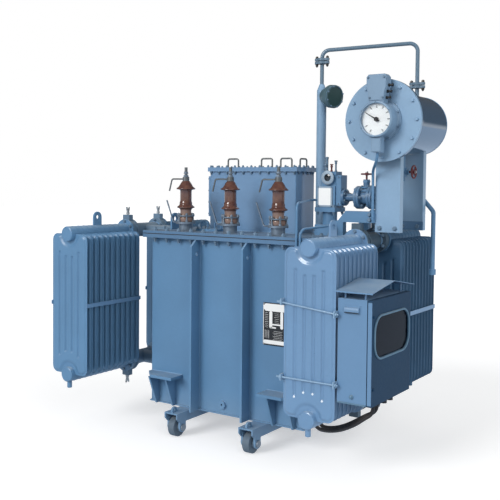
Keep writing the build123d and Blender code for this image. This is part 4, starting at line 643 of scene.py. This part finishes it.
porcelain = glaze()
shape = [(46, 1374), (48, 1377), (48, 1398), (47, 1403), (42, 1409), (38.5, 1414), (37, 1420), (36.5, 1438),
         (37.5, 1452), (41, 1459), (48, 1463), (56, 1465.5), (58, 1468), (58, 1471.5), (55.5, 1474), (49, 1478),
         (44, 1483), (41.5, 1488), (42, 1493), (41.5, 1498), (40, 1503), (38.4, 1508), (38, 1514), (38, 1572),
         (38.5, 1579), (41, 1583.5), (48, 1585.5), (58, 1587), (62, 1588.5), (62.5, 1591), (61.5, 1594),
         (57, 1597.5), (51, 1602), (46, 1607.5), (42, 1614), (38, 1621), (33, 1629), (28, 1637), (24, 1642)]
bushing_y, ring_top = -288, 1417.5
bushing_places = {"left": -360, "middle": 0, "right": 360}
for name, x in bushing_places.items():
    turned = piece(f"glazed_bushing_{name}", [lathe(shape, (x, bushing_y, 0), steps=72)], porcelain, "porcelain",
                   crease=60)
    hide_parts(f"hv_bushing_{name}")
ring_zinc = weathered("blue-grey clamp zinc", (0.18, 0.23, 0.29), (0.2, 0.2, 0.2), shade=0.5, dust=0.3, rough=0.4,
                      grain=0.3, metallic=0.5)
coat(ring_zinc, "hv_clamp_rings")
terminal_steel = weathered("tinned terminal", (0.19, 0.20, 0.20), shade=0.4, dust=0.2, rough=0.38, grain=0.15,
                           metallic=0.7)
coat(terminal_steel, "hv_terminals")
clamps = []
for x in bushing_places.values():
    centre = (x, bushing_y, 1374)
    clamps.append(lathe([(39, 1409), (57, 1409), (58, 1410), (58, 1416), (56, ring_top), (39, ring_top)],
                        (x, bushing_y, 0), steps=48, loop=True))
    for stud in ring_of(6, 53, centre, start=15):
        clamps.append(lathe([(5, 0), (5, 56), (4, 58)], stud, steps=10))
    clamps += bolt_circle(6, 53, centre, up, 16, 9, 15)
    clamps += bolt_circle(6, 53, (x, bushing_y, ring_top), up, 16, 9, 15)
    clamps.append(fillet(44, 7, (x, bushing_y, 1312)))
    clamps += bolted([(x, bushing_y, 1668)], 30, 12) + bolted([(x, bushing_y, 1690)], 26, 11)
piece("bushing_clamp_studs", clamps, ring_zinc, "galvanised")


# Low voltage cable box: a welded steel box on the cover with a bolted lid, lifting handles and
# a smaller box on its left end.
def rounded_rectangle(width, height, radius, steps=4):
    """The outline of a rectangle with round corners, counter-clockwise from its right side."""
    turns = np.linspace(0, np.pi / 2, steps + 1) + np.arange(4)[:, None] * np.pi / 2
    centre = np.array([(1, 1), (-1, 1), (-1, -1), (1, -1)]) * (width / 2 - radius, height / 2 - radius)
    outline = centre[:, None] + radius * np.stack([np.cos(turns), np.sin(turns)], -1)
    return outline.reshape(-1, 2)


def stacked(levels):
    """Rings from lines in a plane, each at its own height."""
    return np.stack([np.column_stack([line, np.full(len(line), height)]) for line, height in levels])


def slab(outline, low, high, origin=(0, 0, 0), facing=up, edge=1.2):
    """A plate from an outline, its rims chamfered: the outline drawn in by the edge at each face."""
    run = np.roll(outline, -1, 0) - np.roll(outline, 1, 0)
    inward = np.stack([-run[:, 1], run[:, 0]], -1) / np.linalg.norm(run, axis=1, keepdims=True)
    levels = [(outline + edge * inward, low), (outline, low + edge), (outline, high - edge),
              (outline + edge * inward, high)]
    return skin(stacked(levels) @ basis(facing) + np.array(origin, float))


def plate(width, height, radius, low, high, origin, facing, edge=1.2):
    """A rectangular plate with round corners."""
    return slab(rounded_rectangle(width, height, radius), low, high, origin, facing, edge)


coat(radiator_enamel, "lv_box", "lv_box_lid")
coat(terminal_steel, "lv_box_handles")
box_middle_y = 70
lid_line = np.concatenate([along((-330, y, 0), (330, y, 0), 11) for y in (-52, 192)]
                          + [along((x, -15, 0), (x, 155, 0), 4) for x in (-345, 345)])
piece("lid_bolts", bolted(lid_line + (0, 0, 1737), 15, 8, stub=4)
      + bolted(lid_line + (0, 0, 1709), 15, 8, down, stub=9), painted)
box_corners = [(-338, -45), (338, -45), (338, 185), (-338, 185)]
box_seams = [bead([(x, y, 1312) for x, y in box_corners], up, 5, closed=True)]
for x, y in box_corners:
    y += math.copysign(1.2, box_middle_y - y)
    box_seams.append(bead([(x * 0.997, y, 1314), (x * 0.997, y, 1707)], right, 3))
hatch_corners = [(-338, -21, 1402), (-338, 161, 1402), (-338, 161, 1677), (-338, -21, 1677)]
box_seams.append(bead(hatch_corners, right, closed=True))
piece("lv_box_welds", box_seams, weld_coat)
piece("lv_side_cover", [plate(166, 259, 8, 0, 5, (-372, box_middle_y, 1539.5), left)], enamel)
side_line = [(-377, y, z) for y in (-3, 143) for z in (1420, 1500, 1579, 1659)]
piece("lv_side_screws", bolted(side_line, 13, 6, left), painted)


# Conservator: a rolled steel drum with a dished rear end and a bolted front cover, on two
# channel legs held by arms from the tank's rim. Conduit runs down from the oil gauge.
# A lighter copy of the blue enamel: painted sheen and sky reflection, on the end cover, legs, flange bolts, filler
# plug, vent pipe and box clamps.
sheen_lightened_enamel = weathered("conservator enamel lightened for painted sheen", (0.225, 0.365, 0.525), (0.44, 0.50, 0.54), shade=0.22, dust=0.35,
                        rough=0.3, grain=0.06, varnish=(0.5, 0.14))
drum_x, drum_z, leg_ys = 988, 2002, (-80, 270)
coat(sheen_lightened_enamel, "conservator_end_cover", "conservator_legs")
# The drum's own enamel darkened to stand in for the dark reflection on its upper side: painted shade under a glossy
# clear coat.
shade_darkened_drum_enamel = weathered("drum enamel darkened for painted shade", (0.068, 0.132, 0.220), (0.2, 0.25, 0.3), shade=0.1, dust=0.1,
                         rough=0.16, grain=0.0, metallic=0.3, varnish=(1.0, 0.05))
coat(shade_darkened_drum_enamel, "conservator_drum")
coat(enamel, "conservator_arms")
piece("drum_flange_bolts", bolt_circle(12, 213, (drum_x, -168, drum_z), front, 18, 10)
      + bolt_circle(12, 213, (drum_x, -134, drum_z), rear, 18, 10, stub=8), sheen_lightened_enamel)
piece("drum_filler_plug", [lathe([(19, -8), (19, 10), (17, 12), (13, 12), (13, 20), (11, 22)],
                                 (drum_x, 165, 2184.5), steps=24)], sheen_lightened_enamel)
drum_seams = [fillet(182, 9, (drum_x, -134, drum_z), rear, 64),
              lathe([(180, -5), (184.5, 0), (180, 5)], (drum_x, 386, drum_z), rear, steps=64)]
for y in leg_ys:
    for foot_y in (y - 12, y + 33):
        drum_seams.append(bead([(638, foot_y, 1270), (638, foot_y, 1400)], right))
    drum_seams.append(bead([(909, y - 3, 1401), (909, y - 3, 1467)], right))
piece("drum_welds", drum_seams, weld_coat)
arm_bolts = bolted([(655, -92, z) for z in (1312, 1340)], 16, 8, front)
arm_bolts += bolted([(880, y - 12, z) for y in leg_ys for z in (1418, 1450)], 20, 10, front)
arm_bolts += bolted([(x, y, 1372) for y in leg_ys for x in (drum_x - 48, drum_x + 48)], 22, 11, front)
piece("arm_bolts", arm_bolts, painted)
piece("leg_foot_plate", [plate(166, 53, 4, 0, 6, (drum_x, 270, 1376.5), front)], rim_enamel)


# Oil level gauge: a cast dial gauge on a ring screwed to the end cover, with a glazed white
# dial, a hand on a spindle, and a terminal box on top.
bezel_paint = weathered("gauge light blue", (0.19, 0.30, 0.43), (0.4, 0.45, 0.5), shade=0.3, dust=0.5, rough=0.34,
                        grain=0.2)
dial_white = weathered("dial white", (0.90, 0.91, 0.90), shade=0.06, dust=0.0, rough=0.4, grain=0.02)
dial_black = weathered("dial black", (0.012, 0.012, 0.013), (0.2, 0.2, 0.2), shade=0.2, dust=0.1, rough=0.45)


def glass_material(name, colour, rough, body=1.0, bending=1.45):
    """Clear or tinted glass, its roughness changed a little by fine noise; thin glass has less body."""
    material, tree, shader = opened(name)
    place = node(tree, "TexCoord", "Object", {})
    tree.links.new(spread(tree, noise(tree, place, 18.0, 3.0), 0.35, 0.65, rough, rough + 0.05),
                   shader.inputs["Roughness"])
    shader.inputs["Base Color"].default_value = (*colour, 1)
    shader.inputs["Transmission Weight"].default_value = 1.0
    shader.inputs["IOR"].default_value = bending
    shader.inputs["Alpha"].default_value = body
    return material


clear_glass = glass_material("gauge glass", (0.96, 0.98, 0.98), 0.02, 0.3)
coat(bezel_paint, "oil_level_gauge")
coat(clear_glass, "gauge_glass")
coat(dial_black, "gauge_pointer")
bezel = [lathe([(92, -3), (92, 1.5), (94, 3), (99, 3), (103, 0.5), (104.5, -3), (104.5, -12), (92, -12)][::-1],
               (drum_x, -266, drum_z), front, steps=72, loop=True)]
bezel.append(lathe([(103, 0), (109, 0), (103, 7)], (drum_x, -182, drum_z), front, steps=72, loop=True))
piece("gauge_bezel", bezel, bezel_paint, "dark_paint")
piece("dial_plate", [lathe([(91, 0), (91, 1)], (drum_x, -244, drum_z), front, steps=72)], dial_white, "dial_white")
marks = []
for degrees in (-60, -30, 0, 30, 60, 90, 120, 150, 210, -120):
    angle = math.radians(degrees)
    out = np.array([math.sin(angle), 0, math.cos(angle)])
    side = np.array([math.cos(angle), 0, -math.sin(angle)])
    start, stop, width = 66, 82, 2.6
    four = [side * width * a + out * b for a, b in ((1, start), (1, stop), (-1, stop), (-1, start))]
    rings = np.stack([np.array(four) + (drum_x, y, drum_z) for y in (-245.1, -245.7)])
    marks.append(skin(rings[:, ::-1]))
piece("dial_marks", marks, dial_black, "pointer_black")
screws = bolt_circle(8, 112, (drum_x, -182, drum_z), front, 11, 5, 22.5)
screws += bolted(ring_of(6, 98.5, (drum_x, -269, drum_z), front, 30), 7, 3, front, washer=False)
screws += bolted([(drum_x + a, -261, b) for a, b in ((-40, 2124), (40, 2124), (-49, 2240), (49, 2240))], 11, 6,
                 facing=front)
piece("gauge_screws", screws, painted)
shield = np.array([(46, 17), (50, 60), (59, 91), (59, 149), (48, 162)], float)
shield = np.vstack([shield, shield[::-1] * (-1, 1)])
gauge_lid = [slab(shield, 0, 5, (drum_x, -256, 2093), front),
             plate(54, 78, 6, 0, 4, (drum_x, -252, 1856), front)]
piece("gauge_box_lids", gauge_lid, bezel_paint, "dark_paint")
black_studs = [lathe([(9, -2), (9, 8), (6, 9), (6, 20), (9, 21), (9, 27), (7, 29)], (x, -226, z), right, steps=20)
               for x, z in ((1036, 2125), (1042, 2160), (1050, 2195))]
piece("gauge_cable_entries", black_studs, dial_black, "pointer_black")
conduit_points = [(drum_x, -228, 1816), (986, -228, 1774), (955, -190, 1742), (915, -130, 1712), (903, -102, 1670),
                  (903, -102, 1600), (903, -102, 1480), (903, -102, 1425), (903, -94, 1405)]
conduit = hung_line("gauge_conduit", (np.array(conduit_points) - middle_of_outline) / 1000, 0.0085, enamel)


# Explosion vent and equalising pipe: a tall pipe from the cover with a green diaphragm clamped
# in its mouth, and a small pipe over to the drum with two bolted unions.
pipe_grey = weathered("grey-blue pipe enamel", (0.115, 0.185, 0.255), (0.3, 0.3, 0.28), shade=0.35, dust=0.35,
                      rough=0.35, grain=0.15, varnish=(0.25, 0.2))
# The vent pipe takes the enamel lightened for painted sheen.
coat(sheen_lightened_enamel, "vent_pipe")
coat(pipe_grey, "equalising_pipe")
film = weathered("green diaphragm film", (0.028, 0.062, 0.062), (0.12, 0.16, 0.14), shade=0.9, dust=0.3, rough=0.3,
                 grain=0.15)
coat(film, "vent_diaphragm")
vent_x, vent_y, cover_top = 424, 125, 1326
mouth = np.array([0.92, -0.32, -0.12])
mouth /= np.linalg.norm(mouth)
lip_at = np.array([vent_x, vent_y, 2200]) + 120 * mouth
mouth_parts = [lathe([(61, 0), (70.5, 0), (71.5, 1), (71.5, 6), (69.5, 8), (62.5, 8), (61, 6)], lip_at, mouth,
                     steps=56, loop=True)]
mouth_parts.append(lathe([(61, 0), (66, 0), (60, 6)], lip_at - 22 * mouth, -mouth, loop=True))
mouth_parts.append(lathe([(43, -92), (45, -92), (66, -36), (73, -34), (73.4, -1), (71, -0.5), (71, -33), (62, -33)],
                         lip_at, mouth, steps=56, loop=True))
# The mouth ring is darker than the vent pipe: weathering and painted shade.
mouth_dark = weathered("weathered green mouth enamel with painted shade", (0.055, 0.105, 0.130), (0.13, 0.19, 0.17), shade=0.8,
                       dust=0.6, rough=0.4, grain=0.6)
piece("vent_mouth_ring", mouth_parts, mouth_dark)
unions = [(vent_x, vent_y, 2424), (vent_x, vent_y, 2404), (drum_x, 340, 2257.5), (drum_x, 340, 2237.5)]
angle = np.linspace(-np.pi / 2, np.pi / 2, 9)
tip = np.stack([36 + 16 * np.cos(angle), 16 * np.sin(angle)], -1)
lobes = np.vstack([tip, -tip])
piece("pipe_union_lobes", [slab(lobes, 0, 16, place) for place in unions], pipe_grey)
piece("vent_foot_weld", [fillet(31, 6, (vent_x, vent_y, cover_top))], weld_coat)
dark_bolt = weathered("dark oiled bolt", (0.06, 0.055, 0.05), (0.2, 0.18, 0.16), shade=0.4, dust=0.3, rough=0.4,
                      grain=0.3, metallic=0.5)
vent_bolts = bolt_circle(8, 66, lip_at + 8 * mouth, mouth, 9, 5, 20)
vent_bolts += bolt_circle(4, 40, (vent_x, vent_y, cover_top), up, 14, 8, 45, 5)
piece("vent_bolts", vent_bolts, painted)
union_bolts = []
for upper, lower in (unions[:2], unions[2:]):
    for (x, y, z), height, stub, facing in ((upper, 10, 3, up), (lower, 11, 6, down)):
        z += 16 if facing == up else 0
        union_bolts += bolted([(x - 38, y, z), (x + 38, y, z)], 18, height, stub=stub, facing=facing)
piece("union_bolts", union_bolts, dark_bolt, "dark_paint")


# Gas relay: a cast float relay between two square flanges, with a plain white window, a round
# sight eye above, a terminal box at its side, and a bleed pipe and petcocks on top.
relay_x, pipe_y, pipe_z, relay_top, eye_x, eye_z = 565, -5, 1550, 1708, 577, 1670
coat(enamel, "gas_relay", "cover_conduits")
window_grey = weathered("relay frame grey", (0.30, 0.39, 0.48), shade=0.25, dust=0.3, rough=0.45, grain=0.2,
                        metallic=0.1)
flange_corners = np.array([(relay_x + a, pipe_y + b, 0) for a in (-56, 56) for b in (-56, 56)])
relay_bolts = bolted(flange_corners + (0, 0, 1486), 18, 10, stub=5)
relay_bolts += bolted(flange_corners + (0, 0, 1458), 18, 10, down, stub=8)
relay_bolts += bolt_circle(8, 36, (eye_x, -63, eye_z), front, 8, 4, 22.5)
relay_bolts += bolted([(557 + a, -62, 1552 + b) for a in (-47, 47) for b in (-59, 59)], 7, 4, front)
relay_bolts += bolted([(644, -46, z) for z in (1508, 1674)], 9, 4, front)
relay_bolts += bolt_circle(6, 40, (679, pipe_y, pipe_z), right, 14, 8, 30)
for x, facing, stub in ((757, left, 0), (873, right, 0), (789, right, 5), (841, left, 5)):
    relay_bolts += bolt_circle(6, 56, (x, pipe_y, pipe_z), facing, 16, 9, stub=stub)
piece("relay_bolts", relay_bolts, painted)
window_frame = [plate(104, 126, 6, 0, 7, (557, -55, 1552), front), lathe([(22, 0), (42.5, 0), (43.5, 1), (43.5, 5),
                                                                          (41.5, 6.5), (24, 6.5), (22, 4)],
                                                                         (eye_x, -62, eye_z), front, loop=True)]
piece("relay_frames", window_frame, window_grey, "galvanised")
piece("relay_side_cover", [plate(34, 184, 5, 0, 5, (644, -41, 1591), front)], enamel)
piece("relay_window", [plate(84, 106, 5, 7, 8.5, (557, -55, 1552), front, edge=0.5)], dial_white,
      "dial_white")
dark_glass = weathered("sight glass dark", (0.015, 0.02, 0.025), shade=0.2, dust=0.0, rough=0.08, grain=0.0,
                       varnish=(0.5, 0.03))
piece("relay_eye", [lathe([(23, 0), (23, 3), (15, 5), (6, 6)], (eye_x, -63, eye_z), front)], dark_glass, "glass")


def petcock(x, y, tall):
    """A turned stem with a collar at its foot, a nut and a cap."""
    return lathe([(9, -2), (9, 7), (5.5, 9), (5.5, tall - 20), (8, tall - 18), (8, tall - 9), (5, tall - 8),
                  (5, tall - 6), (11, tall - 5), (11, tall), (8, tall + 2)], (x, y, relay_top), steps=20)


bleed_pipe = [(12, -2), (12, 6), (9, 8), (9, 78), (11, 79), (11, 90), (8, 92)]
bleed = [petcock(597, 6, 68), lathe(bleed_pipe, (549, -22, relay_top), steps=24),
         lathe([(7, -2), (7, 14), (5, 15)], (549, -31, 1748), front, steps=16)]
piece("relay_bleed_pipe", bleed, painted)


# Oil pipe with its gate valve, and the drum's drain valve: cast bodies with gland nuts and
# red-brown handwheels fixed by a nut. The breather pipe hangs beside the rear leg.
gate_x, drain_y, drain_z = 815, 130, 1708
coat(enamel, "drain_valve", "breather_pipe")
coat(rim_enamel, "oil_pipe")
wheel_red = weathered("handwheel red-brown", (0.15, 0.036, 0.036), (0.25, 0.2, 0.18), shade=0.35, dust=0.35,
                      rough=0.42, grain=0.3)
coat(wheel_red, "gate_handwheel", "drain_handwheel")
piece("relay_petcocks", [petcock(567, 6, 46)], wheel_red, "red_paint")
fittings = [lathe([(36, 1586), (36, 1594), (30, 1597), (22, 1601), (22, 1606), (34, 1608), (35, 1610), (35, 1616),
                   (22, 1618)], (gate_x, pipe_y, 0), steps=36), lathe([(20, 1640), (25, 1642), (25, 1652),
                                                                       (19, 1658), (12, 1660), (8, 1660)],
                                                                      (gate_x, pipe_y, 0), steps=6)]
fittings.append(fillet(24, 9, (drum_x, -5, 1819), down))
fittings.append(lathe([(17, 1000), (21, 1002), (21, 1014), (15, 1020)], (0, drain_y, drain_z), right, steps=6))
fittings.append(lathe([(28, -29), (30, -27), (30, -21), (28, -19)], (drum_x, drain_y, drain_z), steps=36))
fittings.append(lathe([(28, 19), (30, 21), (30, 27), (28, 29)], (drum_x, drain_y, drain_z), steps=36))
piece("valve_gland_nuts", fittings, enamel)
bonnet_bolts = bolt_circle(4, 28.5, (gate_x, pipe_y, 1617), up, 11, 6, 45)
piece("valve_bonnet_bolts", bonnet_bolts, painted)
piece("gate_wheel_nut", bolted([(gate_x, pipe_y, 1700)], 15, 8), zinc, "galvanised", body="gate_handwheel")
piece("drain_wheel_nut", bolted([(1070, drain_y, drain_z)], 15, 8, right), zinc, "galvanised",
      body="drain_handwheel")


# Marshalling box: a folded sheet cabinet with a glazed door on two hinges, a hooded vent, a
# gabled rain roof and cable glands in its floor. Bars and rods clamp it to the radiator.
cabinet_paint = weathered("cabinet enamel", (0.124, 0.244, 0.410), (0.42, 0.50, 0.56), shade=0.14, dust=0.5,
                          rough=0.33, grain=0.05, varnish=(0.3, 0.2))
# The door is the cabinet's enamel darkened: painted shade on its side face and its locks.
door_painted_shade = weathered("door enamel with painted shade", (0.008, 0.040, 0.090), (0.20, 0.27, 0.34), shade=0.3, dust=0.3, rough=0.5,
                       grain=0.05, specular=0.3)
wall_y, door_face = -692, 1190.3
coat(cabinet_paint, "marshalling_box", "marshalling_roof")
coat(door_painted_shade, "marshalling_door")
coat(glass_material("smoked glass", (0.16, 0.12, 0.13), 0.03, bending=1.17), "door_window")
# The clamp bars and rods take the enamel lightened for painted sheen.
coat(sheen_lightened_enamel, "box_clamps")
outer_line, inner_line = rounded_rectangle(456, 241, 90, 10), rounded_rectangle(434, 219, 81, 10)
levels = [(inner_line, 0), (inner_line, 5), (inner_line + (outer_line - inner_line) * 0.3, 8),
          (inner_line + (outer_line - inner_line) * 0.75, 8), (outer_line, 5), (outer_line, 0)]
frame_paint = weathered("window frame blue", (0.10, 0.20, 0.30), shade=0.15, dust=0.4, rough=0.4, grain=0.1)
piece("window_frame", [skin(stacked(levels)[::-1] @ basis(right) + (door_face, -442.5, 826), loop=True)],
      frame_paint, body="box_door")
# A strip of cabinet enamel on the door's front edge, where the door's painted shade is left off so the edge shows
# lit.
piece("door_edge_strip", [plate(23, 540, 2, 0, 1, (1177.3, wall_y, 747), front, edge=0.4)], cabinet_paint,
      body="box_door")
locks = [lathe([(9, 0), (9, 2.5), (7, 4), (7, 6)], (door_face, -674, z), right, steps=24) for z in (560, 940)]
locks += [plate(5, 11, 1.5, 5, 8, (door_face, -674, z), right, edge=0.6) for z in (560, 940)]
piece("door_locks", locks, door_painted_shade, body="box_door")
hood_side = np.array([(0, 0), (13, 0), (14, 22), (10, 28), (0, 30)])
hood_rings = np.stack([np.column_stack([np.full(5, x), wall_y - hood_side[:, 0], 956 + hood_side[:, 1]])
                       for x in (1033, 1117)])
hood = [skin(hood_rings[:, ::-1]), plate(98, 46, 4, 0, 2.5, (1075, wall_y, 972), front)]
piece("cabinet_hood", hood, cabinet_paint)
# A black slab in the slot under the hood: painted shade for the dark opening.
piece("hood_opening_painted_shade", [plate(84, 4, 1.9, 0, 17, (1075, wall_y, 957.5), front, edge=0.5)], dial_black,
      "pointer_black")
trims = [plate(166, 8, 2, 0, 5, (1075.3, wall_y, 474), front),
         lathe([(12, 0), (12, 4), (8, 5), (8, 14), (5, 16)], (1076, wall_y, 510), front, steps=24)]
piece("cabinet_trims", trims, frame_paint)
gland_black = weathered("gland nylon", (0.02, 0.02, 0.022), (0.2, 0.19, 0.18), dust=0.4, rough=0.5, grain=0.2)
coat(gland_black, "cable_glands")
nuts, hexagon_nut = [], [(23, 0), (24, 1.5), (24, 9), (22, 11)]
for x, y in ((1134.3, -546), (1134.3, -500), (1134.3, -415), (1134.3, -335)):
    nuts.append(lathe(hexagon_nut, (x, y, 469), down, steps=6))
    nuts.append(lathe([(19, 11), (20, 13), (20, 24), (15, 30)], (x, y, 469), down, steps=24))
for y in (-335, -275):
    nuts.append(lathe(hexagon_nut, (tank_half_x, y, 210.2), right, steps=6))
piece("gland_nuts", nuts, gland_black, "gasket")
eaves = [plate(215, 8, 2, 0, 2.5, (1093.8, y, 1065), (0, side, 0), edge=0.6)
         for y, side in ((-714, -1), (-171, 1))]
piece("roof_eaves", eaves, cabinet_paint)
clamp_nuts = []
for z_left, z_right in ((981, 941), (564, 564)):
    for y in (-719, -173):
        clamp_nuts += bolted([(653.7, y, z_left)], 17, 9, left)
    clamp_nuts += bolted([(990.3, -719, z_right)], 17, 9, right)
piece("clamp_rod_nuts", clamp_nuts, painted)


# Rating plate: an engraved black plate on four screws. It carries only blank panels and lines.
plate_black = weathered("rating plate black", (0.014, 0.014, 0.016), (0.2, 0.2, 0.2), shade=0.2, dust=0.2,
                        rough=0.4)
plate_x, plate_y, plate_z = 393, -353, 774.5
coat(plate_black, "rating_plate")


def bars(table):
    """Thin raised bars on the plate's face from rows of centre, height, width and depth."""
    return [slab(rounded_rectangle(w, h, min(w, h) * 0.3, 1), 0, 0.8, (plate_x + x, plate_y, plate_z + z), front,
                 edge=0.2) for x, z, w, h in table]


lines = [(0, 102, 180, 46), (0, -110, 180, 24), (-91, -6, 4, 246), (91, -6, 4, 246)]
lines += [(-38, 27, 22, 104), (40, 27, 20, 104), (2, -1, 62, 9), (-20, -20, 40, 9)]
lines += [(-69, 68 - 11 * k, 20 + 7 * (k % 2), 1.4) for k in range(9)] + [(71, 68 - 11 * k, 26, 1.4)
                                                                          for k in range(9)]
lines += [(2 + 4 * (k % 2), 66 - 11 * k, 30, 1.2) for k in range(6)]
lines += [(-78 + 13 * k, -62, 2.2, 50) for k in range(3)] + [(14 - 5 * (k % 2), -42 - 10 * k, 64, 1.3)
                                                             for k in range(6)]
piece("plate_lines", bars(lines), dial_white, "dial_white")
piece("plate_screws", bolted([(plate_x + a, plate_y, plate_z + b) for a in (-88, 88) for b in (-124, 124)], 7, 3,
                             facing=front), zinc, "galvanised")


# Cover fittings: a lifting lug and a bolted inspection hatch with two handles.
coat(enamel, "cover_fittings")
hatch_line = [(-245 + a, -160 + b, cover_top) for a in (-76, 0, 76) for b in (-45, 45)]
piece("hatch_bolts", bolted(hatch_line, 14, 8, stub=4), painted)
